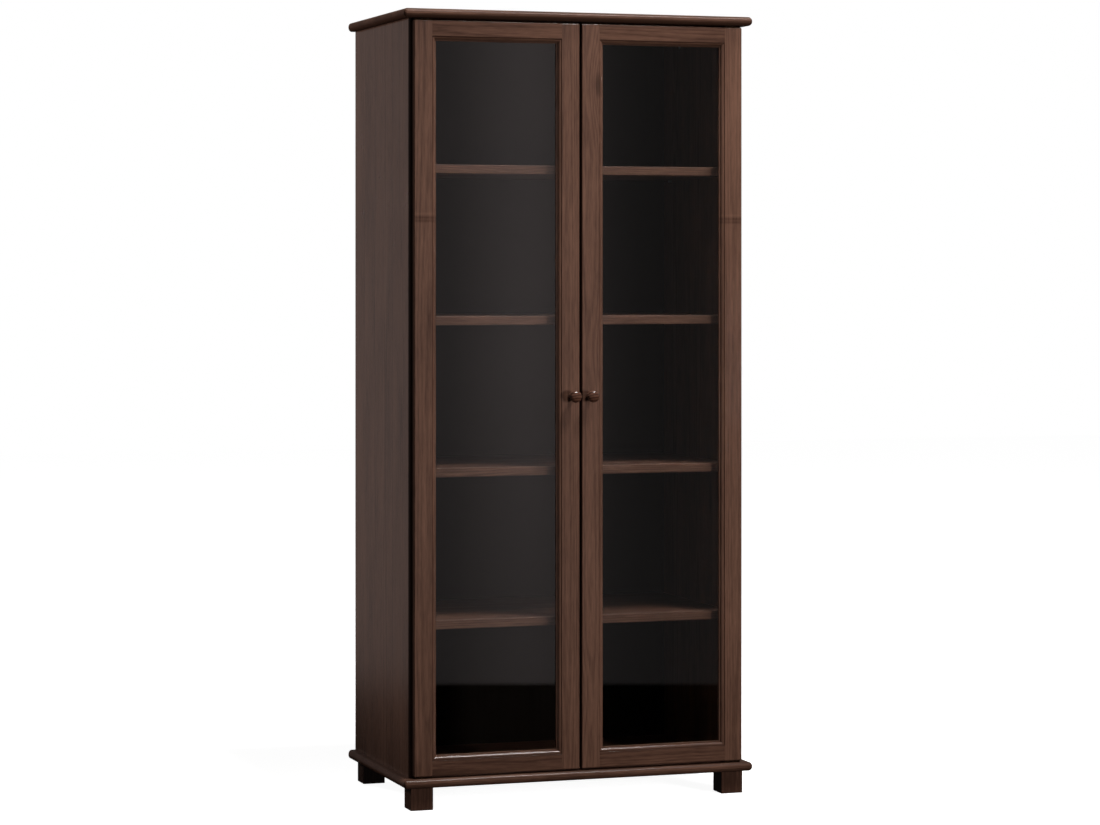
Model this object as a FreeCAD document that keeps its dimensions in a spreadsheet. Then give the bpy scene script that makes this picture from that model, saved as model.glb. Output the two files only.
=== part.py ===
import FreeCAD, Part
import math
import os

import Sketcher

# A free-standing bookcase with two overlay glass doors. Two bullnosed slabs close a carcass of side
# panels, back panel and four shelves, which stands on four square feet. Each door is a stile-and-rail
# frame with a moulded inner edge round a glass pane, and it swings on a pin at its top and its bottom.
# Millimetres. +Z is up and the doors face -Y. The origin is on the floor under the middle of the
# whole, knobs included.

SHELF_COUNT = 4
BACK_SCREW_ROWS = 7
BACK_SCREW_COLUMNS = 3
FRAME_DOWELS = 2
TOLERANCE = 1e-4
LEFT = -1
RIGHT = 1
SIDE_NAMES = {LEFT: "left", RIGHT: "right"}

SIZES = {
    # overall
    "overall_width": 850,
    "slab_depth": 490,
    "slab_thickness": 21,
    "bullnose_radius": 10,
    "side_overhang": 19,
    "front_overhang": 8,
    # carcass
    "side_height": 1726,
    "side_thickness": 20,
    "side_edge_radius": 4,
    "back_thickness": 5,
    "back_rebate": 8,
    # feet
    "foot_width": 53,
    "foot_height": 52,
    "foot_side_inset": 20,
    "foot_front_inset": 17,
    "foot_edge_radius": 1.5,
    "foot_bolt_radius": 4,
    "foot_bolt_in_foot": 28,
    "foot_bolt_in_slab": 15,
    # shelves
    "shelf_thickness": 20,
    "shelf_setback": 14,
    "shelf_end_clearance": 0.5,
    "shelf_back_clearance": 1,
    "shelf_edge_radius": 1.5,
    "first_shelf_rise": 353.5,
    "shelf_pitch": 347,
    "pin_radius": 2.5,
    "pin_embed": 9,
    "pin_reach": 8,
    "pin_end_inset": 50,
    # doors
    "door_thickness": 21,
    "door_back_gap": 2,
    "door_side_reveal": 6,
    "door_centre_gap": 5,
    "door_edge_radius": 4,
    "stile_width": 54,
    "rail_height": 46.8,
    "moulding_width": 10.8,
    "quirk_width": 1.2,
    "quirk_depth": 1,
    "ovolo_radius": 7,
    "lip_thickness": 4,
    "glass_rebate": 8,
    "glass_thickness": 4,
    "glass_clearance": 1,
    "bead_edge_radius": 2,
    "frame_dowel_radius": 3,
    "frame_dowel_depth": 18,
    "frame_dowel_inset": 17,
    "frame_dowel_spacing": 14,
    # knobs
    "knob_inset": 19,
    "knob_projection": 36,
    "knob_head_radius": 14,
    "knob_head_depth": 17,
    "knob_dome_rise": 1,
    "knob_base_radius": 9,
    "knob_base_depth": 3,
    "knob_screw_radius": 2,
    "knob_screw_bite": 14,
    "knob_screw_head_radius": 4,
    "knob_screw_head_height": 2.2,
    # pivot hinges
    "pivot_side_inset": 7,
    "pivot_front_inset": 9,
    "hinge_leaf_thickness": 2,
    "hinge_leaf_width": 10,
    "hinge_leaf_length": 36,
    "hinge_pin_radius": 2.5,
    "hinge_pin_reach": 6,
    "hinge_pin_play": 0.05,
    "hinge_pin_hole_play": 0.5,
    "hinge_washer_thickness": 0.4,
    "hinge_washer_radius": 4.5,
    "hinge_end_play": 0.1,
    "hinge_screw_spacing": 14,
    # small screws
    "screw_radius": 1.5,
    "screw_length": 14,
    "screw_head_radius": 2.8,
    "screw_head_height": 1.4,
    # carcass joints
    "dowel_radius": 4,
    "dowel_in_slab": 12,
    "dowel_in_side": 18,
    "dowel_end_inset": 60,
    "joint_screw_radius": 3,
    "joint_screw_length": 50,
    "joint_screw_head_radius": 5,
    "joint_screw_head_height": 4,
    "joint_screw_inset": 110,
    "cam_radius": 7.5,
    "cam_depth": 12.5,
    "cam_drop": 24,
    "cam_slot_width": 1.6,
    "cam_slot_depth": 2,
    "cam_bolt_radius": 3,
    "cam_bolt_in_slab": 12,
    # magnetic catches
    "catch_width": 36,
    "catch_depth": 15,
    "catch_height": 20,
    "catch_base_thickness": 2,
    "catch_front_gap": 0.5,
    "catch_screw_spacing": 26,
    "magnet_width": 24,
    "magnet_height": 8,
    "magnet_depth": 5,
    "magnet_drop": 12,
    "strike_width": 28,
    "strike_height": 12,
    "strike_thickness": 1.5,
    # the free space left round a piece that sits in a hole
    "hole_clearance": 0.05,
}

DOC = FreeCAD.newDocument("glass_door_bookcase")
SHEET = DOC.addObject("Spreadsheet::Sheet", "Sizes")
for row, (size_name, number) in enumerate(SIZES.items(), start=1):
    SHEET.set(f"A{row}", size_name)
    SHEET.set(f"B{row}", str(number))
    SHEET.setAlias(f"B{row}", size_name)
DOC.recompute()


class Length:
    """A length written as a sheet expression, so that whatever uses it follows the sheet."""

    def __init__(self, text):
        self.text = str(text)

    def __str__(self):
        return self.text

    def __add__(self, other):
        return Length(f"({self} + {other})")

    def __radd__(self, other):
        return Length(f"({other} + {self})")

    def __sub__(self, other):
        return Length(f"({self} - {other})")

    def __rsub__(self, other):
        return Length(f"({other} - {self})")

    def __mul__(self, factor):
        return Length(f"({self} * {factor})")

    def __rmul__(self, factor):
        return Length(f"({factor} * {self})")

    def __truediv__(self, divisor):
        return Length(f"({self} / {divisor})")

    def __neg__(self):
        return Length(f"(-1 * {self})")


class SheetSizes:
    """The sheet's sizes as attributes, each one a Length."""

    def __getattr__(self, name):
        return Length(f"Sizes.{name}")


S = SheetSizes()


def number_of(length):
    """The value that a length has now."""
    return float(SHEET.evalExpression(str(length)))


# ---------------------------------------------------------------- places worked out from the sizes

total_depth = S.knob_projection - S.front_overhang + S.slab_depth
slab_front_y = S.knob_projection - S.front_overhang - total_depth / 2
door_front_y = slab_front_y + S.front_overhang
door_back_y = door_front_y + S.door_thickness
carcass_front_y = door_back_y + S.door_back_gap
slab_back_y = slab_front_y + S.slab_depth
carcass_depth = slab_back_y - carcass_front_y
back_front_y = slab_back_y - S.back_thickness

carcass_half_width = S.overall_width / 2 - S.side_overhang
inner_half_width = carcass_half_width - S.side_thickness
side_middle_x = carcass_half_width - S.side_thickness / 2
floor_z = S.foot_height + S.slab_thickness
ceiling_z = floor_z + S.side_height

door_end_gap = 2 * S.hinge_leaf_thickness + S.hinge_washer_thickness + S.hinge_end_play
door_bottom_z = floor_z + door_end_gap
door_height = S.side_height - 2 * door_end_gap
door_top_z = door_bottom_z + door_height
door_outer_x = carcass_half_width - S.door_side_reveal
door_width = door_outer_x - S.door_centre_gap / 2
stile_flat = S.stile_width - S.moulding_width
rail_flat = S.rail_height - S.moulding_width
glass_front = S.quirk_depth + S.ovolo_radius + S.lip_thickness
bead_front = glass_front + S.glass_thickness
bead_thickness = S.door_thickness - bead_front
pane_width = door_width - 2 * S.stile_width + 2 * S.glass_rebate
pane_height = door_height - 2 * S.rail_height + 2 * S.glass_rebate
rail_length = door_width - 2 * stile_flat
waste_reach = S.moulding_width + S.glass_rebate
knob_x = S.door_centre_gap / 2 + S.knob_inset
door_middle_z = door_bottom_z + door_height / 2
pivot_x = door_outer_x - S.pivot_side_inset
pivot_y = door_front_y + S.pivot_front_inset

shelf_depth = carcass_depth - S.shelf_setback - S.back_thickness - S.shelf_back_clearance
shelf_front_y = carcass_front_y + S.shelf_setback
pin_places_y = [shelf_front_y + S.pin_end_inset, shelf_front_y + shelf_depth - S.pin_end_inset]
foot_x = S.overall_width / 2 - S.foot_side_inset - S.foot_width / 2
foot_front_y = slab_front_y + S.foot_front_inset + S.foot_width / 2
foot_back_y = slab_back_y - S.foot_front_inset - S.foot_width / 2
dowel_places_y = [
    carcass_front_y + S.dowel_end_inset,
    carcass_front_y + carcass_depth / 2,
    slab_back_y - S.dowel_end_inset,
]
joint_screw_places_y = [carcass_front_y + S.joint_screw_inset, slab_back_y - S.joint_screw_inset]
catch_x = S.door_centre_gap / 2 + S.stile_width / 2
catch_front_y = door_back_y + S.strike_thickness + S.catch_front_gap
strike_middle_z = ceiling_z - S.magnet_drop
hinge_screw_reaches = [S.hinge_screw_spacing, 2 * S.hinge_screw_spacing]
plate_top = floor_z + S.hinge_leaf_thickness
plate_under = ceiling_z - S.hinge_leaf_thickness
leaf_under = plate_top + S.hinge_washer_thickness + S.hinge_end_play
leaf_top = plate_under - S.hinge_washer_thickness - S.hinge_end_play
catch_screw_xs = [catch_x - S.catch_screw_spacing / 2, catch_x + S.catch_screw_spacing / 2]
catch_screw_y = catch_front_y + S.magnet_depth + (S.catch_depth - S.magnet_depth) / 2


def shelf_top_z(level):
    """The height of the top face of the shelf at a level, counted from 0 at the bottom."""
    return floor_z + S.first_shelf_rise + level * S.shelf_pitch


def shelf_pin_z(level):
    """The height of the pins that a shelf lies on."""
    return shelf_top_z(level) - S.shelf_thickness - S.pin_radius


def door_middle_x(door_side):
    """The middle of a door."""
    return door_side * (door_outer_x - door_width / 2)


def frame_dowel_z(number, end_z, inward):
    """The height of one of the two dowels of a door's corner, measured from the end of the door."""
    return end_z + inward * (S.frame_dowel_inset + number * S.frame_dowel_spacing)


def back_screw_places():
    """Where screws hold the back panel, as x and z: up the two sides, and along the two slabs."""
    side_x = inner_half_width + S.back_rebate / 2
    slab_half_spread = S.side_height / 2 + S.back_rebate / 2
    middle_z = floor_z + S.side_height / 2
    upright = [((number + 0.5) / BACK_SCREW_ROWS - 0.5) * S.side_height for number in range(BACK_SCREW_ROWS)]
    level = [
        (2 * number + 1 - BACK_SCREW_COLUMNS) / BACK_SCREW_COLUMNS * inner_half_width
        for number in range(BACK_SCREW_COLUMNS)
    ]
    places = [(side * side_x, middle_z + rise) for side in (LEFT, RIGHT) for rise in upright]
    places += [(x, middle_z + end * slab_half_spread) for end in (-1, 1) for x in level]
    return places


# the free holes for the fasteners, and how deep each screw bites
dowel_hole = S.dowel_radius + S.hole_clearance
frame_dowel_hole = S.frame_dowel_radius + S.hole_clearance
screw_hole = S.screw_radius + S.hole_clearance
screw_head_hole = S.screw_head_radius + S.hole_clearance
joint_screw_hole = S.joint_screw_radius + S.hole_clearance
knob_screw_hole = S.knob_screw_radius + S.hole_clearance
hinge_screw_bite = S.screw_length - S.hinge_leaf_thickness
back_screw_bite = S.screw_length - S.back_thickness
catch_screw_bite = S.screw_length - S.catch_base_thickness
strike_screw_bite = S.screw_length - S.strike_thickness
joint_screw_bite = S.joint_screw_length - S.slab_thickness

# ---------------------------------------------------------------- how a piece is drawn and cut


def new_body(label, x=0, y=0, z=0):
    """A body whose own origin is at x, y, z."""
    body = DOC.addObject("PartDesign::Body", label)
    body.Label = label
    place(body, x, y, z)
    return body


def place(item, x, y, z):
    """Tie an object's place to lengths."""
    for axis, length in (("x", x), ("y", y), ("z", z)):
        item.setExpression(f"Placement.Base.{axis}", str(length))


def plane_axis_sign(sketch):
    """Which way a sketch faces along its plane's axis: the XZ plane faces -Y, the others face +."""
    return -1 if sketch.AttachmentSupport[0][0].Role == "XZ_Plane" else 1


def locate(sketch, geometry, point, where):
    """Hold a point of a sketch at a pair of lengths from the sketch's origin."""
    for kind, length in zip(("DistanceX", "DistanceY"), where):
        index = sketch.addConstraint(Sketcher.Constraint(kind, -1, 1, geometry, point, number_of(length)))
        sketch.setExpression(f"Constraints[{index}]", str(length))


def draw_arc(sketch, start, end, centre):
    """Add the shorter arc from start to end, and say which of its ends is the start."""
    radius = (start - centre).Length
    circle = Part.Circle(centre, FreeCAD.Vector(0, 0, 1), radius)
    first = math.atan2(start.y - centre.y, start.x - centre.x)
    last = math.atan2(end.y - centre.y, end.x - centre.x)
    if (last - first) % (2 * math.pi) < math.pi:
        return sketch.addGeometry(Part.ArcOfCircle(circle, first, last)), 1, 2
    return sketch.addGeometry(Part.ArcOfCircle(circle, last, first)), 2, 1


def draw_outline(sketch, corners, arcs):
    """Draw a closed outline. arcs gives, for a corner's number, the centre and radius of the next side."""
    points = [FreeCAD.Vector(number_of(x), number_of(y), 0) for x, y in corners]
    sides = []
    for index, start in enumerate(points):
        end = points[(index + 1) % len(points)]
        if index in arcs:
            (centre_x, centre_y), radius = arcs[index]
            centre = FreeCAD.Vector(number_of(centre_x), number_of(centre_y), 0)
            sides.append(draw_arc(sketch, start, end, centre))
            constraint = sketch.addConstraint(Sketcher.Constraint("Radius", sides[-1][0], number_of(radius)))
            sketch.setExpression(f"Constraints[{constraint}]", str(radius))
        else:
            sides.append((sketch.addGeometry(Part.LineSegment(start, end)), 1, 2))
    for index, (geometry, start_end, far_end) in enumerate(sides):
        following, following_start, unused_end = sides[(index + 1) % len(sides)]
        sketch.addConstraint(Sketcher.Constraint("Coincident", geometry, far_end, following, following_start))
        locate(sketch, geometry, start_end, corners[index])


def draw_circle(sketch, centre, radius):
    """Draw a circle about a pair of lengths."""
    middle = FreeCAD.Vector(number_of(centre[0]), number_of(centre[1]), 0)
    geometry = sketch.addGeometry(Part.Circle(middle, FreeCAD.Vector(0, 0, 1), number_of(radius)))
    index = sketch.addConstraint(Sketcher.Constraint("Radius", geometry, number_of(radius)))
    sketch.setExpression(f"Constraints[{index}]", str(radius))
    locate(sketch, geometry, 3, centre)


def sketch_on(body, plane, outlines=(), circles=(), level=0, arcs=None):
    """A sketch on one of the body's own planes, moved to a level along that plane's axis.

    outlines are lists of corners, and circles are pairs of a centre and a radius.
    """
    sketch = body.newObject("Sketcher::SketchObject", f"{body.Label}_sketch")
    support = [item for item in body.Origin.OriginFeatures if item.Role == plane]
    sketch.AttachmentSupport = [(support[0], "")]
    sketch.MapMode = "FlatFace"
    if plane_axis_sign(sketch) < 0:
        level = -1 * Length(level)
    sketch.setExpression("AttachmentOffset.Base.z", str(level))
    for corners in outlines:
        draw_outline(sketch, corners, arcs or {})
    for centre, radius in circles:
        draw_circle(sketch, centre, radius)
    return sketch


def rectangle(low_x, low_y, high_x, high_y):
    """The four corners of a rectangle."""
    return [(low_x, low_y), (high_x, low_y), (high_x, high_y), (low_x, high_y)]


def pad(body, sketch, length, towards=1):
    """Raise a sketch into a solid, towards + or - along its plane's axis."""
    feature = body.newObject("PartDesign::Pad", f"{body.Label}_pad")
    feature.Profile = sketch
    feature.setExpression("Length", str(length))
    feature.Reversed = towards != plane_axis_sign(sketch)
    return feature


def pocket(body, sketch, depth, towards=1):
    """Cut a sketch out of the solid, towards + or - along its plane's axis."""
    feature = body.newObject("PartDesign::Pocket", f"{body.Label}_pocket")
    feature.Profile = sketch
    feature.setExpression("Length", str(depth))
    feature.Reversed = towards == plane_axis_sign(sketch)
    return feature


def drill(body, plane, level, centres, radius, depth, towards):
    """Cut equal round holes, all starting at one level."""
    circles = [(centre, radius) for centre in centres]
    return pocket(body, sketch_on(body, plane, circles=circles, level=level), depth, towards)


def round_edges(body, wanted, radius):
    """Round the edges of the body's last feature whose lowest and highest corners satisfy wanted."""
    DOC.recompute()
    base = body.Tip
    names = []
    for index, edge in enumerate(base.Shape.Edges, start=1):
        box = edge.BoundBox
        if wanted((box.XMin, box.YMin, box.ZMin), (box.XMax, box.YMax, box.ZMax)):
            names.append(f"Edge{index}")
    if not names:
        raise RuntimeError(f"{body.Label} has no edges to round")
    feature = body.newObject("PartDesign::Fillet", f"{body.Label}_fillet")
    feature.Base = (base, names)
    feature.setExpression("Radius", str(radius))
    return feature


def near(first, second):
    """Whether two coordinates are the same."""
    return abs(first - number_of(second)) < TOLERANCE


def is_level(low, high):
    """Whether an edge with these lowest and highest corners stays at one height."""
    return abs(high[2] - low[2]) < TOLERANCE


def group(label, members):
    """One node that holds several separate solids."""
    compound = DOC.addObject("Part::Compound", label)
    compound.Label = label
    compound.Links = members
    return compound


def copy_of(master, places, rotation):
    """Linked copies of a pattern piece, all turned alike, one at each place."""
    links = []
    for x, y, z in places:
        link = DOC.addObject("App::Link", f"{master.Label}_copy")
        link.LinkedObject = master
        link.Placement = FreeCAD.Placement(FreeCAD.Vector(), rotation)
        place(link, x, y, z)
        links.append(link)
    return links


def turned(body, plane, corners, arcs=None):
    """Turn an outline of (radius, along) corners about the plane's upright axis."""
    sketch = sketch_on(body, plane, outlines=[corners], arcs=arcs)
    feature = body.newObject("PartDesign::Revolution", f"{body.Label}_revolution")
    feature.Profile = sketch
    feature.ReferenceAxis = (sketch, ["V_Axis"])
    feature.Angle = 360
    return body


def headed_screw(label, radius, length, head_radius, head_height):
    """A screw along +Z with the top of its flat head at the origin and its point above."""
    corners = [(0, 0), (head_radius, 0), (head_radius, head_height), (radius, head_height)]
    corners += [(radius, length - radius), (0, length)]
    return turned(new_body(label), "XZ_Plane", corners)


def small_screw(label):
    """The one size of small screw that holds the back, the hinges, the catches and the strikes."""
    return headed_screw(label, S.screw_radius, S.screw_length, S.screw_head_radius, S.screw_head_height)


def plain_pin(label, radius, length):
    """A plain round pin along +Z, from the origin up."""
    body = new_body(label)
    pad(body, sketch_on(body, "XY_Plane", circles=[((0, 0), radius)]), length)
    return body


UP = FreeCAD.Rotation()
DOWN = FreeCAD.Rotation(FreeCAD.Vector(1, 0, 0), 180)
FORWARD = FreeCAD.Rotation(FreeCAD.Vector(1, 0, 0), 90)
TO_SIDE = {
    LEFT: FreeCAD.Rotation(FreeCAD.Vector(0, 1, 0), -90),
    RIGHT: FreeCAD.Rotation(FreeCAD.Vector(0, 1, 0), 90),
}

# ---------------------------------------------------------------- carcass


def both_sides(length):
    """A distance from the middle, on the left and on the right."""
    return [LEFT * length, RIGHT * length]


def slab(label, z, inner_towards):
    """A bullnosed slab. inner_towards is +1 where its upper face looks into the cabinet."""
    body = new_body(label, z=z)
    inner_level = S.slab_thickness if inner_towards > 0 else 0
    half_width = S.overall_width / 2
    outline = rectangle(-half_width, slab_front_y, half_width, slab_back_y)
    pad(body, sketch_on(body, "XY_Plane", [outline]), S.slab_thickness)

    def front_or_end(low, high):
        """The long edges of the front and of the two ends, but not of the back."""
        return is_level(low, high) and not near(low[1], slab_back_y)

    round_edges(body, front_or_end, S.bullnose_radius)
    back_half_width = inner_half_width + S.back_rebate
    rebate = rectangle(-back_half_width, back_front_y, back_half_width, slab_back_y)
    pocket(body, sketch_on(body, "XY_Plane", [rebate], level=inner_level), S.back_rebate, -inner_towards)
    sides = both_sides(side_middle_x)
    dowels = [(x, y) for x in sides for y in dowel_places_y]
    drill(body, "XY_Plane", inner_level, dowels, dowel_hole, S.dowel_in_slab, -inner_towards)
    hinge_screws = [
        (side * (pivot_x - reach), pivot_y) for side in (LEFT, RIGHT) for reach in hinge_screw_reaches
    ]
    drill(body, "XY_Plane", inner_level, hinge_screws, screw_hole, hinge_screw_bite, -inner_towards)
    back_screws = [(x, height - z) for x, height in back_screw_places() if is_in_slab(height, z)]
    drill(body, "XZ_Plane", back_front_y, back_screws, screw_hole, back_screw_bite, -1)
    return body


def is_in_slab(height, slab_z):
    """Whether a height falls within the slab that starts at slab_z."""
    return 0 < number_of(height - slab_z) < number_of(S.slab_thickness)


def bottom_panel():
    """The slab on the feet, drilled for the feet and for the screws up into the sides."""
    body = slab("bottom_panel", S.foot_height, 1)
    feet = [(x, y) for x in both_sides(foot_x) for y in (foot_front_y, foot_back_y)]
    drill(body, "XY_Plane", 0, feet, S.foot_bolt_radius + S.hole_clearance, S.foot_bolt_in_slab, 1)
    screws = [(x, y) for x in both_sides(side_middle_x) for y in joint_screw_places_y]
    drill(body, "XY_Plane", 0, screws, joint_screw_hole, S.slab_thickness, 1)
    head = S.joint_screw_head_radius + S.hole_clearance
    drill(body, "XY_Plane", 0, screws, head, S.joint_screw_head_height, 1)


def top_panel():
    """The slab over the doors, drilled from below for the cam bolts and the catches."""
    body = slab("top_panel", ceiling_z, -1)
    bolts = [(x, y) for x in both_sides(side_middle_x) for y in joint_screw_places_y]
    drill(body, "XY_Plane", 0, bolts, S.cam_bolt_radius + S.hole_clearance, S.cam_bolt_in_slab, 1)
    catches = [(side * x, catch_screw_y) for side in (LEFT, RIGHT) for x in catch_screw_xs]
    drill(body, "XY_Plane", 0, catches, screw_hole, catch_screw_bite, 1)


def side_panel(side):
    """A side of the carcass, rebated for the back and drilled for its joints and shelf pins."""
    body = new_body(f"{SIDE_NAMES[side]}_side_panel", z=floor_z)
    outer = side * carcass_half_width
    inner = side * inner_half_width
    outline = rectangle(inner, carcass_front_y, outer, slab_back_y)
    pad(body, sketch_on(body, "XY_Plane", [outline]), S.side_height)

    def upright_at_front(low, high):
        """The two upright edges of the front."""
        return near(high[1], carcass_front_y) and not is_level(low, high)

    round_edges(body, upright_at_front, S.side_edge_radius)
    rebate = rectangle(inner, back_front_y, inner + side * S.back_rebate, slab_back_y)
    pocket(body, sketch_on(body, "XY_Plane", [rebate]), S.side_height, 1)
    middle = side * side_middle_x
    dowels = [(middle, y) for y in dowel_places_y]
    screws = [(middle, y) for y in joint_screw_places_y]
    drill(body, "XY_Plane", 0, dowels, dowel_hole, S.dowel_in_side, 1)
    drill(body, "XY_Plane", S.side_height, dowels, dowel_hole, S.dowel_in_side, -1)
    drill(body, "XY_Plane", 0, screws, joint_screw_hole, joint_screw_bite, 1)
    drill(body, "XY_Plane", S.side_height, screws, S.cam_bolt_radius + S.hole_clearance, S.cam_drop, -1)
    cams = [(y, S.side_height - S.cam_drop) for y in joint_screw_places_y]
    drill(body, "YZ_Plane", inner, cams, S.cam_radius + S.hole_clearance, S.cam_depth, side)
    pins = [(y, shelf_pin_z(level) - floor_z) for level in range(SHELF_COUNT) for y in pin_places_y]
    drill(body, "YZ_Plane", inner, pins, S.pin_radius + S.hole_clearance, S.pin_embed, side)
    back_screws = [(x, z - floor_z) for x, z in back_screw_places() if is_in_side(x, side)]
    drill(body, "XZ_Plane", back_front_y, back_screws, screw_hole, back_screw_bite, -1)


def is_in_side(x, side):
    """Whether a place across the cabinet falls within a side panel."""
    return side * number_of(x) > number_of(inner_half_width)


def back_panel():
    """The thin back, let into the rebates of the sides and the slabs."""
    body = new_body("back_panel")
    half_width = inner_half_width + S.back_rebate
    outline = rectangle(-half_width, floor_z - S.back_rebate, half_width, ceiling_z + S.back_rebate)
    pad(body, sketch_on(body, "XZ_Plane", [outline], level=back_front_y), S.back_thickness)
    screws = back_screw_places()
    drill(body, "XZ_Plane", slab_back_y, screws, screw_hole, S.back_thickness, -1)
    drill(body, "XZ_Plane", slab_back_y, screws, screw_head_hole, S.screw_head_height, -1)
    screw_places = [(x, slab_back_y, z) for x, z in screws]
    group("back_screws", copy_of(small_screw("back_screw_pattern"), screw_places, FORWARD))


def shelf(level):
    """A shelf that lies on four pins."""
    body = new_body(f"shelf_{level + 1}", z=shelf_top_z(level) - S.shelf_thickness)
    half_width = inner_half_width - S.shelf_end_clearance
    outline = rectangle(-half_width, shelf_front_y, half_width, shelf_front_y + shelf_depth)
    pad(body, sketch_on(body, "XY_Plane", [outline]), S.shelf_thickness)

    def long_at_front(low, high):
        """The upper and lower edges of the front."""
        return near(high[1], shelf_front_y) and is_level(low, high)

    round_edges(body, long_at_front, S.shelf_edge_radius)


def foot(label, x, y):
    """A square foot, bored from above for its bolt."""
    body = new_body(label, x, y)
    half = S.foot_width / 2
    pad(body, sketch_on(body, "XY_Plane", [rectangle(-half, -half, half, half)]), S.foot_height)

    def below_the_top(low, high):
        """Every edge but the four round the top, which meets the slab."""
        return not near(low[2], S.foot_height)

    round_edges(body, below_the_top, S.foot_edge_radius)
    hole = S.foot_bolt_radius + S.hole_clearance
    drill(body, "XY_Plane", S.foot_height, [(0, 0)], hole, S.foot_bolt_in_foot, -1)


def carcass_fasteners():
    """The dowels, screws, cams and bolts that hold the carcass and its feet together."""
    sides = both_sides(side_middle_x)
    dowel = plain_pin("dowel_pattern", S.dowel_radius, S.dowel_in_slab + S.dowel_in_side)
    dowel_bottoms = (floor_z - S.dowel_in_slab, ceiling_z - S.dowel_in_side)
    dowels = [(x, y, z) for x in sides for y in dowel_places_y for z in dowel_bottoms]
    group("carcass_dowels", copy_of(dowel, dowels, UP))

    joint_screw = headed_screw("joint_screw_pattern", S.joint_screw_radius, S.joint_screw_length,
                               S.joint_screw_head_radius, S.joint_screw_head_height)
    joint_screws = [(x, y, S.foot_height) for x in sides for y in joint_screw_places_y]
    group("carcass_screws", copy_of(joint_screw, joint_screws, UP))

    cam_bolt_length = S.cam_bolt_in_slab + S.cam_drop - S.cam_radius
    cam_bolt = plain_pin("cam_bolt_pattern", S.cam_bolt_radius, cam_bolt_length)
    cam_bolt_z = ceiling_z - S.cam_drop + S.cam_radius
    cam_bolts = [(x, y, cam_bolt_z) for x in sides for y in joint_screw_places_y]
    group("cam_bolts", copy_of(cam_bolt, cam_bolts, UP))

    foot_bolt = plain_pin("foot_bolt_pattern", S.foot_bolt_radius, S.foot_bolt_in_foot + S.foot_bolt_in_slab)
    foot_bolt_z = S.foot_height - S.foot_bolt_in_foot
    foot_bolts = [(x, y, foot_bolt_z) for x in both_sides(foot_x) for y in (foot_front_y, foot_back_y)]
    group("foot_bolts", copy_of(foot_bolt, foot_bolts, UP))


def cam_locks():
    """The cams in the sides that draw the cam bolts down, each with a slot for a screwdriver."""
    cam = plain_pin("cam_pattern", S.cam_radius, S.cam_depth)
    half_slot = S.cam_slot_width / 2
    slot = rectangle(-S.cam_radius, -half_slot, S.cam_radius, half_slot)
    pocket(cam, sketch_on(cam, "XY_Plane", [slot]), S.cam_slot_depth, 1)
    cams = []
    for side in (LEFT, RIGHT):
        places = [(side * inner_half_width, y, ceiling_z - S.cam_drop) for y in joint_screw_places_y]
        cams += copy_of(cam, places, TO_SIDE[side])
    group("cam_locks", cams)


def shelf_pins():
    """Four pins under each shelf, pushed into the sides."""
    pin = plain_pin("shelf_pin_pattern", S.pin_radius, S.pin_embed + S.pin_reach)
    pins = []
    for side in (LEFT, RIGHT):
        start_x = side * (inner_half_width - S.pin_reach)
        places = [(start_x, y, shelf_pin_z(level)) for level in range(SHELF_COUNT) for y in pin_places_y]
        pins += copy_of(pin, places, TO_SIDE[side])
    group("shelf_pins", pins)


# ---------------------------------------------------------------- doors


def member_profile(width):
    """The section of a stile or rail, as corners (across from the outer edge, back from the front).

    It has the rounded outer edge, the flat, the quirk, the ovolo, the lip and the glass rebate.
    """
    radius = S.door_edge_radius
    flat = width - S.moulding_width
    ovolo_start = flat + S.quirk_width
    lip_front = S.quirk_depth + S.ovolo_radius
    corners = [
        (0, radius),
        (radius, 0),
        (flat, 0),
        (flat, S.quirk_depth),
        (ovolo_start, S.quirk_depth),
        (ovolo_start + S.ovolo_radius, lip_front),
        (width, lip_front),
        (width, glass_front),
        (width - S.glass_rebate, glass_front),
        (width - S.glass_rebate, S.door_thickness),
        (radius, S.door_thickness),
        (0, S.door_thickness - radius),
    ]
    arcs = {
        0: ((radius, radius), radius),
        4: ((ovolo_start, lip_front), S.ovolo_radius),
        10: ((radius, S.door_thickness - radius), radius),
    }
    return corners, arcs


def oriented(profile, orient):
    """A profile with every point of it moved by orient."""
    corners, arcs = profile
    moved_arcs = {index: (orient(*centre), radius) for index, (centre, radius) in arcs.items()}
    return [orient(*corner) for corner in corners], moved_arcs


def door_piece(door_side, name, x, y, z):
    """A body named after its door."""
    return new_body(f"{SIDE_NAMES[door_side]}_door_{name}", x, y, z)


def stile(body, across):
    """An upright of a door frame, mitred where the rails' mouldings meet its own.

    across is +1 where the outer edge is on the left, and the body's origin is at that edge's foot.
    """
    corners, arcs = oriented(member_profile(S.stile_width), lambda u, v: (across * Length(u), v))
    pad(body, sketch_on(body, "XY_Plane", [corners], arcs=arcs), door_height)
    ends = ((Length(0), 1), (door_height, -1))
    for end_z, inward in ends:
        mitre_start = end_z + inward * rail_flat
        waste = [
            (across * stile_flat, end_z - inward * waste_reach),
            (across * stile_flat, mitre_start),
            (across * (stile_flat + waste_reach), mitre_start + inward * waste_reach),
            (across * (stile_flat + waste_reach), end_z - inward * waste_reach),
        ]
        pocket(body, sketch_on(body, "XZ_Plane", [waste]), S.door_thickness)

    def outer_edge_of_end(low, high):
        """The edge that runs round the front, the outer side and the back of each end."""
        is_end = near(high[2], 0) or near(low[2], door_height)
        return is_end and is_level(low, high) and not near(abs(low[0]), stile_flat)

    round_edges(body, outer_edge_of_end, S.door_edge_radius)
    dowels = [
        (S.door_thickness / 2, frame_dowel_z(number, end_z, inward))
        for end_z, inward in ends
        for number in range(FRAME_DOWELS)
    ]
    drill(body, "YZ_Plane", across * stile_flat, dowels, frame_dowel_hole, S.frame_dowel_depth, -across)


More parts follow.
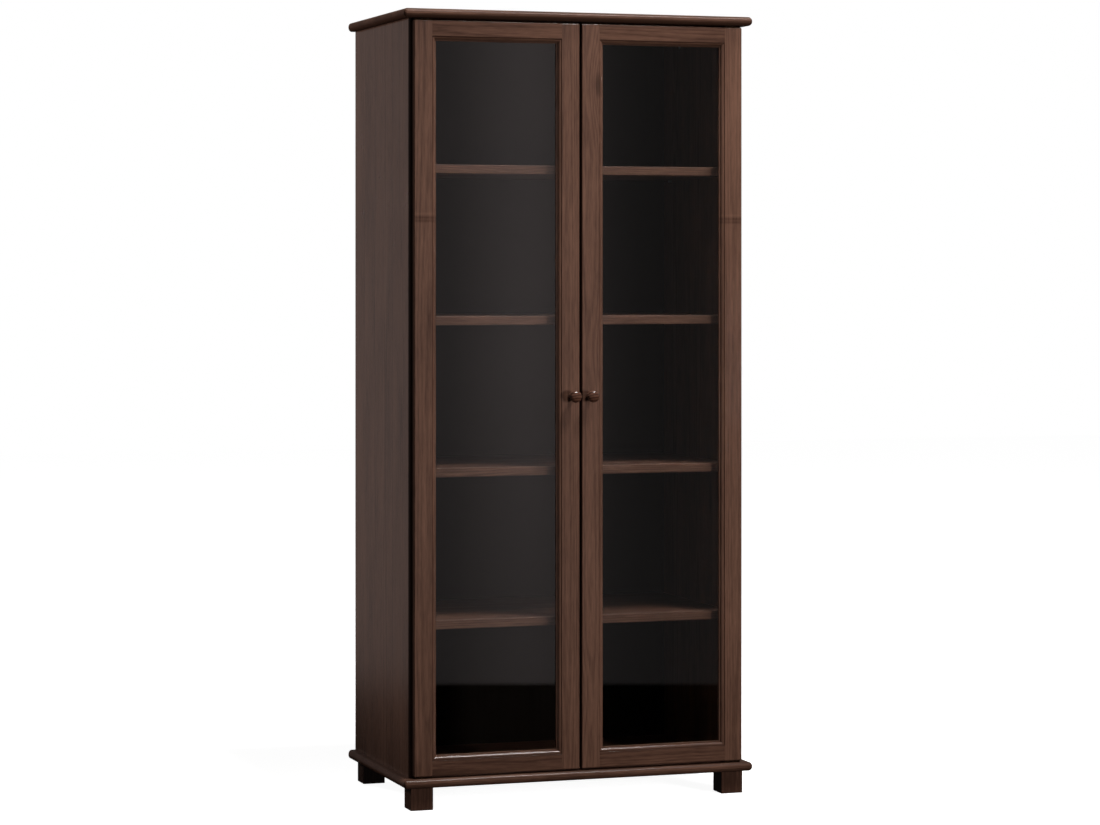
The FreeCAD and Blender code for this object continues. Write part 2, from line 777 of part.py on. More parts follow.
def hinge_stile(door_side):
    """The outer stile, bored at both ends for the pivot pin and the hinge screws."""
    across = -door_side
    body = door_piece(door_side, "hinge_stile", door_side * door_outer_x, door_front_y, door_bottom_z)
    stile(body, across)
    pivot = (across * S.pivot_side_inset, S.pivot_front_inset)
    screws = [(across * (S.pivot_side_inset + reach), S.pivot_front_inset) for reach in hinge_screw_reaches]
    pin_hole = S.hinge_pin_radius + S.hinge_pin_hole_play
    pin_depth = S.hinge_pin_reach + S.hinge_pin_hole_play
    for level, towards in ((0, 1), (door_height, -1)):
        drill(body, "XY_Plane", level, [pivot], pin_hole, pin_depth, towards)
        drill(body, "XY_Plane", level, screws, screw_hole, hinge_screw_bite, towards)


def lock_stile(door_side):
    """The stile at the middle of the cabinet, drilled for the knob and for the strike plate."""
    across = door_side
    lock_edge_x = door_side * S.door_centre_gap / 2
    body = door_piece(door_side, "lock_stile", lock_edge_x, door_front_y, door_bottom_z)
    stile(body, across)
    knob_place = [(across * S.knob_inset, door_height / 2)]
    drill(body, "XZ_Plane", 0, knob_place, knob_screw_hole, S.door_thickness, 1)
    strike_place = [(across * S.stile_width / 2, strike_middle_z - door_bottom_z)]
    drill(body, "XZ_Plane", S.door_thickness, strike_place, screw_hole, strike_screw_bite, -1)


def rail(door_side, name, outer_z, upwards):
    """A cross piece of a door frame, mitred where its moulding meets the stiles' own.

    upwards is +1 where the outer edge is the lower one.
    """
    start_x = door_middle_x(door_side) - rail_length / 2
    body = door_piece(door_side, name, start_x, door_front_y, outer_z)
    corners, arcs = oriented(member_profile(S.rail_height), lambda u, v: (v, upwards * Length(u)))
    pad(body, sketch_on(body, "YZ_Plane", [corners], arcs=arcs), rail_length)
    low_z = upwards * rail_flat
    high_z = upwards * (rail_flat + waste_reach)
    wastes = [
        [(end_x, low_z), (end_x + inward * waste_reach, high_z), (end_x - inward * waste_reach, high_z)]
        for end_x, inward in ((Length(0), 1), (rail_length, -1))
    ]
    pocket(body, sketch_on(body, "XZ_Plane", wastes), S.door_thickness)
    dowels = [
        (S.door_thickness / 2, frame_dowel_z(number, Length(0), upwards))
        for number in range(FRAME_DOWELS)
    ]
    for level, towards in ((0, 1), (rail_length, -1)):
        drill(body, "YZ_Plane", level, dowels, frame_dowel_hole, S.frame_dowel_depth, towards)


def frame_dowels(door_side):
    """The dowels in the four corners of a door frame."""
    name = f"{SIDE_NAMES[door_side]}_door_frame_dowels"
    dowel = plain_pin(f"{name}_pattern", S.frame_dowel_radius, 2 * S.frame_dowel_depth)
    joints_x = [door_middle_x(door_side) - rail_length / 2, door_middle_x(door_side) + rail_length / 2]
    places = [
        (x - S.frame_dowel_depth, door_front_y + S.door_thickness / 2, frame_dowel_z(number, end_z, inward))
        for x in joints_x
        for end_z, inward in ((door_bottom_z, 1), (door_top_z, -1))
        for number in range(FRAME_DOWELS)
    ]
    group(name, copy_of(dowel, places, TO_SIDE[RIGHT]))


def glass_pane(door_side):
    """The pane that lies behind the lip of the frame."""
    glass_y = door_front_y + glass_front
    body = door_piece(door_side, "glass", door_middle_x(door_side), glass_y, door_middle_z)
    half_width = pane_width / 2 - S.glass_clearance
    half_height = pane_height / 2 - S.glass_clearance
    outline = rectangle(-half_width, -half_height, half_width, half_height)
    pad(body, sketch_on(body, "XZ_Plane", [outline]), S.glass_thickness)


def glazing_bead(door_side, name, half_length, half_reach, turn):
    """A mitred strip that holds the pane. turn takes (along, outwards) to the door's (x, z)."""
    bead_y = door_front_y + bead_front
    body = door_piece(door_side, name, door_middle_x(door_side), bead_y, door_middle_z)
    inner_half_length = half_length - S.glass_rebate
    inner_reach = half_reach - S.glass_rebate
    outline = [
        turn(-half_length, half_reach),
        turn(half_length, half_reach),
        turn(inner_half_length, inner_reach),
        turn(-inner_half_length, inner_reach),
    ]
    pad(body, sketch_on(body, "XZ_Plane", [outline]), bead_thickness)
    inner_x, inner_z = (abs(number_of(length)) + TOLERANCE for length in turn(inner_half_length, inner_reach))

    def inner_back(low, high):
        """The back edge of the side that faces the middle of the pane."""
        is_inner = max(-low[0], high[0]) < inner_x and max(-low[2], high[2]) < inner_z
        return is_inner and near(low[1], bead_thickness)

    round_edges(body, inner_back, S.bead_edge_radius)


def glazing_beads(door_side):
    """The four beads behind a pane."""
    half_width = pane_width / 2
    half_height = pane_height / 2
    glazing_bead(door_side, "top_bead", half_width, half_height, lambda along, out: (along, out))
    glazing_bead(door_side, "bottom_bead", half_width, half_height, lambda along, out: (along, -out))
    glazing_bead(door_side, "left_bead", half_height, half_width, lambda along, out: (-out, along))
    glazing_bead(door_side, "right_bead", half_height, half_width, lambda along, out: (out, along))


def knob(door_side):
    """A turned knob with a flat foot, a hollow neck and a slightly domed head, bored for its screw."""
    body = door_piece(door_side, "knob", door_side * knob_x, door_front_y, door_middle_z)
    rim_radius = (S.knob_head_depth - S.knob_dome_rise) / 2
    neck_radius = S.knob_head_radius - rim_radius
    cove_radius = S.knob_base_radius - neck_radius
    cove_end = -S.knob_base_depth - cove_radius
    tip = -S.knob_projection
    dome_edge = tip + S.knob_dome_rise
    rim_y = dome_edge + rim_radius
    dome_radius = (neck_radius * neck_radius + S.knob_dome_rise * S.knob_dome_rise) / S.knob_dome_rise / 2
    corners = [
        (knob_screw_hole, 0),
        (S.knob_base_radius, 0),
        (S.knob_base_radius, -S.knob_base_depth),
        (neck_radius, cove_end),
        (neck_radius, rim_y + rim_radius),
        (S.knob_head_radius, rim_y),
        (neck_radius, dome_edge),
        (0, tip),
        (0, -S.knob_screw_bite),
        (knob_screw_hole, -S.knob_screw_bite),
    ]
    arcs = {
        2: ((S.knob_base_radius, cove_end), cove_radius),
        4: ((neck_radius, rim_y), rim_radius),
        5: ((neck_radius, rim_y), rim_radius),
        6: ((0, tip + dome_radius), dome_radius),
    }
    turned(body, "XY_Plane", corners, arcs)


def knob_screw(door_side):
    """The screw that holds a knob, put in from the back of the door."""
    name = f"{SIDE_NAMES[door_side]}_door_knob_screw"
    length = S.knob_screw_head_height + S.door_thickness + S.knob_screw_bite
    screw = headed_screw(f"{name}_pattern", S.knob_screw_radius, length,
                         S.knob_screw_head_radius, S.knob_screw_head_height)
    head_y = door_back_y + S.knob_screw_head_height
    group(name, copy_of(screw, [(door_side * knob_x, head_y, door_middle_z)], FORWARD))


def strike_plate(door_side):
    """The steel plate on the back of a lock stile, which the catch holds."""
    body = door_piece(door_side, "strike_plate", door_side * catch_x, door_back_y, strike_middle_z)
    half_width = S.strike_width / 2
    half_height = S.strike_height / 2
    outline = rectangle(-half_width, -half_height, half_width, half_height)
    pad(body, sketch_on(body, "XZ_Plane", [outline]), S.strike_thickness)
    drill(body, "XZ_Plane", 0, [(0, 0)], screw_hole, S.strike_thickness, 1)
    drill(body, "XZ_Plane", S.strike_thickness, [(0, 0)], screw_head_hole, S.screw_head_height, -1)


def door(door_side):
    """Everything that swings on one side, but for its hinge leaves and their screws."""
    hinge_stile(door_side)
    lock_stile(door_side)
    rail(door_side, "top_rail", door_top_z, -1)
    rail(door_side, "bottom_rail", door_bottom_z, 1)
    frame_dowels(door_side)
    glass_pane(door_side)
    glazing_beads(door_side)
    knob(door_side)
    knob_screw(door_side)
    strike_plate(door_side)


# ---------------------------------------------------------------- pivot hinges and catches


def hinge_leaf(label, across, bore):
    """A leaf on Z = 0 with a round end about the pivot. across is the way to its other end, + or -."""
    body = new_body(label)
    half = S.hinge_leaf_width / 2
    corners = [
        (0, -half),
        (across * S.hinge_leaf_length, -half),
        (across * S.hinge_leaf_length, half),
        (0, half),
        (-across * half, 0),
    ]
    arcs = {3: ((0, 0), half), 4: ((0, 0), half)}
    pad(body, sketch_on(body, "XY_Plane", [corners], arcs=arcs), S.hinge_leaf_thickness)
    drill(body, "XY_Plane", 0, [(0, 0)], bore, S.hinge_leaf_thickness, 1)
    screws = [(across * reach, 0) for reach in hinge_screw_reaches]
    drill(body, "XY_Plane", 0, screws, screw_hole, S.hinge_leaf_thickness, 1)
    drill(body, "XY_Plane", 0, screws, screw_head_hole, S.screw_head_height, 1)
    return body


def hinge_pair(side, screw):
    """The plates, leaves and leaf screws of one door's two hinges. Returns the plates' own screws."""
    name = SIDE_NAMES[side]
    x = side * pivot_x
    plate = hinge_leaf(f"{name}_plate_pattern", -side, S.hinge_pin_radius + S.hole_clearance)
    plates = copy_of(plate, [(x, pivot_y, plate_top)], DOWN) + copy_of(plate, [(x, pivot_y, plate_under)], UP)
    group(f"{name}_hinge_plates", plates)
    leaf = hinge_leaf(f"{name}_leaf_pattern", -side, S.hinge_pin_radius + S.hinge_pin_play)
    leaves = copy_of(leaf, [(x, pivot_y, leaf_under)], UP) + copy_of(leaf, [(x, pivot_y, leaf_top)], DOWN)
    group(f"{name}_door_hinge_leaves", leaves)

    screw_xs = [side * (pivot_x - reach) for reach in hinge_screw_reaches]
    leaf_screws = copy_of(screw, [(x, pivot_y, leaf_under) for x in screw_xs], UP)
    leaf_screws += copy_of(screw, [(x, pivot_y, leaf_top) for x in screw_xs], DOWN)
    strike_screw_y = door_back_y + S.strike_thickness
    strike_screw = copy_of(screw, [(side * catch_x, strike_screw_y, strike_middle_z)], FORWARD)
    group(f"{name}_door_screws", leaf_screws + strike_screw)

    plate_screws = copy_of(screw, [(x, pivot_y, plate_top) for x in screw_xs], DOWN)
    plate_screws += copy_of(screw, [(x, pivot_y, plate_under) for x in screw_xs], UP)
    return plate_screws


def hinges():
    """Both doors' hinges, with the pins and washers that they turn on."""
    screw = small_screw("hinge_screw_pattern")
    group("hinge_plate_screws", hinge_pair(LEFT, screw) + hinge_pair(RIGHT, screw))

    pivots = [(x, pivot_y) for x in both_sides(pivot_x)]
    pin = plain_pin("hinge_pin_pattern", S.hinge_pin_radius, door_end_gap + S.hinge_pin_reach)
    pin_bottoms = (floor_z, door_top_z - S.hinge_pin_reach)
    group("hinge_pins", copy_of(pin, [(x, y, z) for x, y in pivots for z in pin_bottoms], UP))

    washer = plain_pin("hinge_washer_pattern", S.hinge_washer_radius, S.hinge_washer_thickness)
    bore = S.hinge_pin_radius + S.hinge_pin_play
    drill(washer, "XY_Plane", 0, [(0, 0)], bore, S.hinge_washer_thickness, 1)
    washer_bottoms = (plate_top, plate_under - S.hinge_washer_thickness)
    group("hinge_washers", copy_of(washer, [(x, y, z) for x, y in pivots for z in washer_bottoms], UP))


def catches():
    """Magnetic catches under the top slab, one behind the top of each lock stile."""
    housing = new_body("catch_housing_pattern")
    half_width = S.catch_width / 2
    outline = rectangle(-half_width, 0, half_width, S.catch_depth)
    pad(housing, sketch_on(housing, "XY_Plane", [outline], level=-S.catch_height), S.catch_height)
    half_magnet = S.magnet_width / 2
    seat_top = S.magnet_height / 2 - S.magnet_drop
    seat = rectangle(-half_magnet, seat_top - S.magnet_height, half_magnet, seat_top)
    pocket(housing, sketch_on(housing, "XZ_Plane", [seat]), S.magnet_depth)
    half_spacing = S.catch_screw_spacing / 2
    screws = [(x, catch_screw_y - catch_front_y) for x in both_sides(half_spacing)]
    drill(housing, "XY_Plane", -S.catch_height, screws, screw_hole, S.catch_height, 1)
    head_seat = S.catch_height - S.catch_base_thickness + S.screw_head_height
    drill(housing, "XY_Plane", -S.catch_height, screws, screw_head_hole, head_seat, 1)

    magnet = new_body("catch_magnet_pattern")
    pad(magnet, sketch_on(magnet, "XZ_Plane", [seat]), S.magnet_depth)

    places = [(x, catch_front_y, ceiling_z) for x in both_sides(catch_x)]
    group("catch_housings", copy_of(housing, places, UP))
    group("catch_magnets", copy_of(magnet, places, UP))
    head_z = ceiling_z - S.catch_base_thickness
    screw_places = [(side * x, catch_screw_y, head_z) for side in (LEFT, RIGHT) for x in catch_screw_xs]
    group("catch_screws", copy_of(small_screw("catch_screw_pattern"), screw_places, UP))


# ---------------------------------------------------------------- assembly

bottom_panel()
top_panel()
back_panel()
for each_side in (LEFT, RIGHT):
    side_panel(each_side)
    foot(f"front_{SIDE_NAMES[each_side]}_foot", each_side * foot_x, foot_front_y)
    foot(f"back_{SIDE_NAMES[each_side]}_foot", each_side * foot_x, foot_back_y)
for shelf_level in range(SHELF_COUNT):
    shelf(shelf_level)
shelf_pins()
carcass_fasteners()
cam_locks()
door(LEFT)
door(RIGHT)
hinges()
catches()

DOC.recompute()


def is_sub_part(item):
    """Bodies and groups are sub-parts, but a pattern piece is only copied into groups."""
    return item.TypeId in ("PartDesign::Body", "Part::Compound") and not item.Label.endswith("_pattern")


for item in DOC.Objects:
    if "Invalid" in item.State or "Error" in item.State:
        raise RuntimeError(f"{item.Label} did not compute: {item.State}")
    if item.TypeId == "PartDesign::Pocket" and item.Shape.Volume > item.BaseFeature.Shape.Volume - TOLERANCE:
        raise RuntimeError(f"{item.Label} cuts nothing")

sub_parts = [item for item in DOC.Objects if is_sub_part(item)]
for item in sub_parts:
    if item.Shape.isNull() or not item.Shape.isValid():
        raise RuntimeError(f"{item.Label} has no valid shape")

os.makedirs("parts", exist_ok=True)
for item in sub_parts:
    item.Shape.exportStep(os.path.join("parts", f"{item.Label}.step"))
    print(f"{item.Label}: {len(item.Shape.Solids)} solids, {item.Shape.Volume / 1000:.1f} cm3")
print(f"{len(sub_parts)} sub-parts")
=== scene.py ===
import logging
import math
import random
from bisect import bisect
from dataclasses import dataclass, field
from enum import Enum
from functools import reduce
from typing import Callable, Iterable, Sequence

import bmesh
import bpy
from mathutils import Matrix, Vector


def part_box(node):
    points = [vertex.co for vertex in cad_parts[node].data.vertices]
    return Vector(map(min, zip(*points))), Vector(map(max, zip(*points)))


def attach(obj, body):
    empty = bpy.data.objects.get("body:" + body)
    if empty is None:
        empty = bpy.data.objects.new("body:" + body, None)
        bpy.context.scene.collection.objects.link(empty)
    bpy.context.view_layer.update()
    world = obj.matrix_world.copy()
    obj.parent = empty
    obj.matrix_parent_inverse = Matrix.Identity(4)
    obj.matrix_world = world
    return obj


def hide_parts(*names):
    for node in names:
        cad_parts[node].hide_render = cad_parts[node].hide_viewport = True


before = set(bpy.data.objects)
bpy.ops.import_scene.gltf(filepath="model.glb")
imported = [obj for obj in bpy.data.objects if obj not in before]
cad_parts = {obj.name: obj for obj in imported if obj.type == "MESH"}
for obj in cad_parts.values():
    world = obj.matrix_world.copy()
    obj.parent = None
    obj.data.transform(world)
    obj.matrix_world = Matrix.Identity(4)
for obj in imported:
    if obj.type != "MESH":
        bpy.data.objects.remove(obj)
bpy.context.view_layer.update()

logging.basicConfig(level=logging.INFO, format="%(message)s")
log = logging.getLogger("bookcase")

MM = 0.001
WHITE = (1.0, 1.0, 1.0, 1.0)
SHARP_ANGLE = math.radians(35)
SOFTENED_ANGLE = math.radians(50)
GRAIN, TONE, SEAM, PAINTED_LIGHT_AND_STAIN, GLOSS = "grain", "tone", "seam", "painted_light_and_stain", "gloss"
NO_SEAM = 1.0
HEIGHT_DIGITS = 4
FORWARD = Vector((0, -1, 0))

Colour = tuple[float, float, float]
Flat = tuple[float, float]
Triple = tuple[float, float, float]
Node = bpy.types.Node
Piece = bpy.types.Object
Shell = bmesh.types.BMesh
Socket = bpy.types.NodeSocket
Tree = bpy.types.NodeTree


class Body(Enum):
    """The parts of the bookcase that move as one."""

    CABINET = "cabinet"
    LEFT_DOOR = "left_door"
    RIGHT_DOOR = "right_door"


class Slot(Enum):
    """The finishes named in the record."""

    STAINED_PINE = "stained_pine"
    LACQUERED_PINE = "lacquered_pine"
    BACK_BOARD = "stained_back_board"
    BEECH = "plain_beech"
    GLASS = "clear_glass"
    ZINC = "zinc_plated_steel"
    BRASS = "browned_brass"
    MAGNET = "magnet_steel"
    PLASTIC = "brown_plastic"


class Axis(Enum):
    """The three directions of the bookcase: left to right, front to back, and up."""

    X = 0
    Y = 1
    Z = 2


# ---------------------------------------------------------------- node graphs


class Graph:
    """Adds nodes to one node tree and joins them."""

    def __init__(self, tree: Tree) -> None:
        """Keeps the tree that the nodes go into."""
        self.tree = tree

    def put(self, socket: Socket, value: object) -> None:
        """Gives a socket its value.

        Args:
            socket: The input.
            value: An output, which is linked to it, or a constant, which is written there.
        """
        if isinstance(value, Socket):
            self.tree.links.new(value, socket)
        else:
            socket.default_value = value

    def fill(self, node: Node, inputs: dict) -> Node:
        """Gives a node its inputs.

        Args:
            node: The node.
            inputs: Values or outputs for its sockets, by name or number.

        Returns:
            The same node.
        """
        for key, value in inputs.items():
            self.put(node.inputs[key], value)
        return node

    def add(self, kind: str, inputs: dict | None = None, **settings: object) -> Node:
        """Adds one node.

        Args:
            kind: The node's type name.
            inputs: Values or outputs for its sockets, by name or number.
            settings: Its properties.

        Returns:
            The new node.
        """
        node = self.tree.nodes.new(kind)
        for name, value in settings.items():
            setattr(node, name, value)
        return self.fill(node, inputs or {})

    def math(self, operation: str, *values: object) -> Socket:
        """The result of one Math node."""
        return self.add("ShaderNodeMath", dict(enumerate(values)), operation=operation).outputs[0]

    def plus(self, *values: object) -> Socket:
        """The sum of the values."""
        return reduce(lambda total, value: self.math("ADD", total, value), values)

    def times(self, first: object, second: object) -> Socket:
        """The product of two values."""
        return self.math("MULTIPLY", first, second)

    def vector(self, operation: str, *values: object) -> Socket:
        """The result of one Vector Math node."""
        return self.add("ShaderNodeVectorMath", dict(enumerate(values)), operation=operation).outputs[0]

    def scaled(self, value: object, factor: object) -> Socket:
        """A vector times a number."""
        return self.add("ShaderNodeVectorMath", {0: value, "Scale": factor}, operation="SCALE").outputs[0]

    def parts(self, value: object) -> Sequence[Socket]:
        """The three parts of a vector."""
        return self.add("ShaderNodeSeparateXYZ", {0: value}).outputs[:]

    def joined(self, *values: object) -> Socket:
        """A vector of three parts."""
        return self.add("ShaderNodeCombineXYZ", dict(enumerate(values))).outputs[0]

    def mix(self, factor: object, first: object, second: object) -> Socket:
        """A blend of two colours."""
        return self.add("ShaderNodeMix", {0: factor, 6: first, 7: second}, data_type="RGBA").outputs[2]

    def spread(
        self, value: object, low: float, high: float, to: Flat = (0, 1), smooth: bool = False
    ) -> Socket:
        """A value carried from one range into another, and held inside it.

        Args:
            value: The value.
            low: Where the first range starts.
            high: Where it ends.
            to: The other range.
            smooth: Whether it eases in and out.

        Returns:
            The value in its new range.
        """
        inputs = dict(enumerate((value, low, high, *to)))
        kind = "SMOOTHSTEP" if smooth else "LINEAR"
        return self.add("ShaderNodeMapRange", inputs, interpolation_type=kind).outputs[0]

    def noise(self, place: object, stretch: Triple, detail: float = 2, rough: float = 0.5) -> Socket:
        """A cloudy value from 0 to 1 over a place, as many times finer each way as stretch says."""
        inputs = {"Vector": self.vector("MULTIPLY", place, stretch), "Scale": 1.0}
        return self.add("ShaderNodeTexNoise", inputs | {"Detail": detail, "Roughness": rough}).outputs[0]

    def attribute(self, name: str, output: str = "Fac") -> Socket:
        """One of the values that a mesh carries."""
        return self.add("ShaderNodeAttribute", attribute_name=name).outputs[output]

    def object_place(self) -> Socket:
        """The place on a piece, in the piece's own axes."""
        return self.add("ShaderNodeTexCoord").outputs["Object"]

    def group(self, tree: Tree, inputs: dict) -> Sequence[Socket]:
        """The outputs of a shader group that is given its inputs."""
        return self.add("ShaderNodeGroup", inputs, node_tree=tree).outputs

    def bump(self, strength: float, relief: float, height: Socket) -> Socket:
        """A normal that follows a height."""
        inputs = {"Strength": strength, "Distance": relief, "Height": height}
        return self.add("ShaderNodeBump", inputs).outputs[0]


def new_group(name: str, kind: str, inputs: dict, outputs: dict) -> tuple[Tree, Graph, Node, Node]:
    """Starts a node group with named sockets.

    Args:
        name: The group's name.
        kind: The tree's type name.
        inputs: Socket type and default by input name.
        outputs: Socket type by output name.

    Returns:
        The group, its graph, its input node and its output node.
    """
    group = bpy.data.node_groups.new(name, kind)
    for socket_name, (socket_type, default) in inputs.items():
        socket = group.interface.new_socket(socket_name, in_out="INPUT", socket_type=socket_type)
        if default is not None:
            socket.default_value = default
    for socket_name, socket_type in outputs.items():
        group.interface.new_socket(socket_name, in_out="OUTPUT", socket_type=socket_type)
    graph = Graph(group)
    return group, graph, graph.add("NodeGroupInput"), graph.add("NodeGroupOutput")


@dataclass(frozen=True)
class PineFigure:
    """The figure of plain-sawn pine in a board's own directions: along, across and through it."""

    bend_stretch: Triple = (0.9, 5, 5)
    knot_stretch: Triple = (1.5, 7, 7)
    ripple_stretch: Triple = (5, 60, 60)
    fibre_stretch: Triple = (14, 900, 900)
    streak_stretch: Triple = (26, 270, 270)
    cloud_stretch: Triple = (3, 16, 16)
    line_rough: float = 0.6
    swirl_reach: float = 0.42
    swirl_power: float = 3.0
    swirl_width: float = 0.012
    ripple_depth: float = 0.7
    ring_start: float = -0.4
    knot_edge: Flat = (0.035, 0.075)

    def make(self) -> Tree:
        """Builds the figure.

        Returns:
            A shader group that puts out year rings, fibres, slow clouds and knots, each from 0 to 1.
        """
        numbers = {"Ring Spacing": 0.004, "Wander": 0.02}
        inputs = {"Place": ("NodeSocketVector", None)}
        inputs |= {name: ("NodeSocketFloat", value) for name, value in numbers.items()}
        outputs = dict.fromkeys(("Rings", "Fibre", "Cloud", "Knot"), "NodeSocketFloat")
        group, graph, source, sink = new_group("pine_figure", "ShaderNodeTree", inputs, outputs)
        place = source.outputs["Place"]
        slow = graph.vector("MULTIPLY", place, self.bend_stretch)
        bend = graph.add("ShaderNodeTexNoise", {"Vector": slow, "Scale": 1.0, "Detail": 1.0}).outputs[1]
        bend = graph.vector("SUBTRACT", bend, (0.5, 0.5, 0.5))
        moved = graph.vector("ADD", place, graph.scaled(bend, source.outputs["Wander"]))
        knot_place = graph.vector("MULTIPLY", place, self.knot_stretch)
        inputs = {"Vector": knot_place, "Scale": 1.0, "Randomness": 1.0}
        to_knot = graph.add("ShaderNodeTexVoronoi", inputs).outputs["Distance"]
        swirl = graph.spread(to_knot, 0.0, self.swirl_reach, (1, 0), smooth=True)
        swirl = graph.math("POWER", swirl, self.swirl_power)
        _, across, through = graph.parts(moved)
        radius = graph.math("SQRT", graph.plus(graph.times(across, across), graph.times(through, through)))
        radius = graph.plus(radius, graph.times(swirl, self.swirl_width))
        ripple = graph.times(graph.noise(place, self.ripple_stretch), self.ripple_depth)
        phase = graph.plus(graph.math("DIVIDE", radius, source.outputs["Ring Spacing"]), ripple)
        wave = graph.math("SINE", graph.times(phase, 2 * math.pi))
        fibre = graph.noise(place, self.fibre_stretch, detail=3, rough=self.line_rough)
        streak = graph.noise(place, self.streak_stretch, rough=self.line_rough)
        results = {
            "Rings": graph.spread(wave, self.ring_start, 1.0, smooth=True),
            "Fibre": graph.times(graph.plus(fibre, streak), 0.5),
            "Cloud": graph.noise(place, self.cloud_stretch, detail=3),
            "Knot": graph.spread(to_knot, *self.knot_edge, (1, 0), smooth=True),
        }
        graph.fill(sink, results)
        return group


@dataclass(frozen=True)
class HandlingMarks:
    """Dust and small marks on any surface, over its own place."""

    smear_detail: float = 4
    smear_rough: float = 0.62
    smear_range: Flat = (0.35, 0.7)
    speck_stretch: Triple = (60.0, 60.0, 60.0)
    speck_range: Flat = (0.66, 0.78)

    def make(self) -> Tree:
        """Builds the marks.

        Returns:
            A shader group that puts out a mask of smears and one of fine specks.
        """
        inputs = {"Place": ("NodeSocketVector", None), "Scale": ("NodeSocketFloat", 8.0)}
        outputs = dict.fromkeys(("Smear", "Specks"), "NodeSocketFloat")
        group, graph, source, sink = new_group("handling", "ShaderNodeTree", inputs, outputs)
        place = graph.scaled(source.outputs["Place"], source.outputs["Scale"])
        smear = graph.noise(place, (1, 1, 1), self.smear_detail, self.smear_rough)
        specks = graph.noise(place, self.speck_stretch, detail=1)
        graph.put(sink.inputs["Smear"], graph.spread(smear, *self.smear_range))
        graph.put(sink.inputs["Specks"], graph.spread(specks, *self.speck_range))
        return group


# ---------------------------------------------------------------- finishes


def shader_graph(name: str) -> tuple[bpy.types.Material, Graph, Node]:
    """Starts a material.

    Args:
        name: The material's name.

    Returns:
        The material, its graph and its Principled BSDF.
    """
    material = bpy.data.materials.new(name)
    material.use_nodes = True
    material.node_tree.nodes.clear()
    graph = Graph(material.node_tree)
    surface = graph.add("ShaderNodeBsdfPrincipled")
    graph.add("ShaderNodeOutputMaterial", {"Surface": surface.outputs[0]})
    return material, graph, surface


@dataclass(frozen=True)
class StainedWood:
    """Pine under a dark stain and a satin coat.

    The boards' directions come from the mesh's own values, or, with upright_place, from the place
    on a piece whose boards stand upright.
    """

    name: str
    dark: Colour
    light: Colour
    roughness: float = 0.5
    specular: float = 0.1
    coat: float = 1.0
    coat_roughness: float = 0.13
    ring_depth: float = 0.24
    ring_spacing: float = 0.0034
    fibre_depth: float = 0.8
    cloud_depth: float = 0.9
    relief: float = 0.00006
    upright_place: bool = False
    upright_heart: float = -0.17
    base_lightness: float = 0.62
    painted_light_and_stain_depth: float = 0.55
    line_depth: float = 0.6
    line_darkness: float = 0.35
    seam_reach: Flat = (0.0003, 0.0020)
    mark_scale: float = 9.0
    smear_roughness: float = 0.08
    ring_roughness: float = 0.05
    fibre_relief: float = 0.6
    ring_relief: float = 0.4
    bump_strength: float = 0.5

    def make(self, groups: dict[str, Tree]) -> bpy.types.Material:
        """Builds the material.

        Args:
            groups: The shared effects by name.

        Returns:
            The material.
        """
        material, graph, surface = shader_graph(self.name)
        if self.upright_place:
            x, y, z = graph.parts(graph.object_place())
            place = graph.joined(z, x, graph.plus(y, self.upright_heart))
            tone, painted_light_and_stain, gloss = 0.0, 0.0, self.coat
        else:
            place = graph.attribute(GRAIN, "Vector")
            tone, painted_light_and_stain, gloss = (graph.attribute(name) for name in (TONE, PAINTED_LIGHT_AND_STAIN, GLOSS))
        figure = graph.group(groups["pine_figure"], {"Place": place, "Ring Spacing": self.ring_spacing})
        marks = graph.group(groups["handling"], {"Place": place, "Scale": self.mark_scale})
        rings, fibre = figure["Rings"], figure["Fibre"]
        lightness = graph.plus(
            graph.times(rings, -self.ring_depth),
            graph.times(graph.plus(fibre, -0.5), self.fibre_depth * 2),
            graph.times(graph.plus(figure["Cloud"], -0.5), self.cloud_depth),
            self.base_lightness,
            tone,
            # Darker where stain gathers and where shade is painted, paler where a highlight is painted.
            graph.times(painted_light_and_stain, -self.painted_light_and_stain_depth),
        )
        colour = graph.mix(lightness, (*self.dark, 1), (*self.light, 1))
        line = (*(self.line_darkness * part for part in self.dark), 1)
        colour = graph.mix(graph.times(figure["Knot"], self.line_depth), colour, line)
        if not self.upright_place:
            below, above, _ = graph.parts(graph.attribute(SEAM, "Vector"))
            seam = graph.spread(graph.math("MINIMUM", below, above), *self.seam_reach, (1, 0))
            colour = graph.mix(graph.times(seam, self.line_depth), colour, line)
        rough = graph.plus(
            graph.times(marks["Smear"], self.smear_roughness),
            graph.times(rings, self.ring_roughness),
            self.roughness - self.ring_roughness,
        )
        height = graph.plus(graph.times(fibre, self.fibre_relief), graph.times(rings, -self.ring_relief))
        looks = {
            "Base Color": colour,
            "Roughness": rough,
            "Normal": graph.bump(self.bump_strength, self.relief, height),
            "Specular IOR Level": self.specular,
            "Coat Weight": gloss,
            "Coat Roughness": self.coat_roughness,
        }
        graph.fill(surface, looks)
        return material


@dataclass(frozen=True)
class ClearGlass:
    """A clear pane, with faint smears."""

    name: str
    tint: Colour = (0.93, 0.96, 0.95)
    smeared: float = 0.985
    mark_scale: float = 5.0
    refraction: float = 1.5

    def make(self, groups: dict[str, Tree]) -> bpy.types.Material:
        """Builds the material.

        Args:
            groups: The shared effects by name.

        Returns:
            The material.
        """
        material, graph, surface = shader_graph(self.name)
        marks = graph.group(groups["handling"], {"Place": graph.object_place(), "Scale": self.mark_scale})
        dim = (*(self.smeared * part for part in self.tint), 1)
        colour = graph.mix(marks["Smear"], (*self.tint, 1), dim)
        looks = {"Base Color": colour, "Roughness": 0.0, "Transmission Weight": 1.0, "IOR": self.refraction}
        graph.fill(surface, looks)
        return material


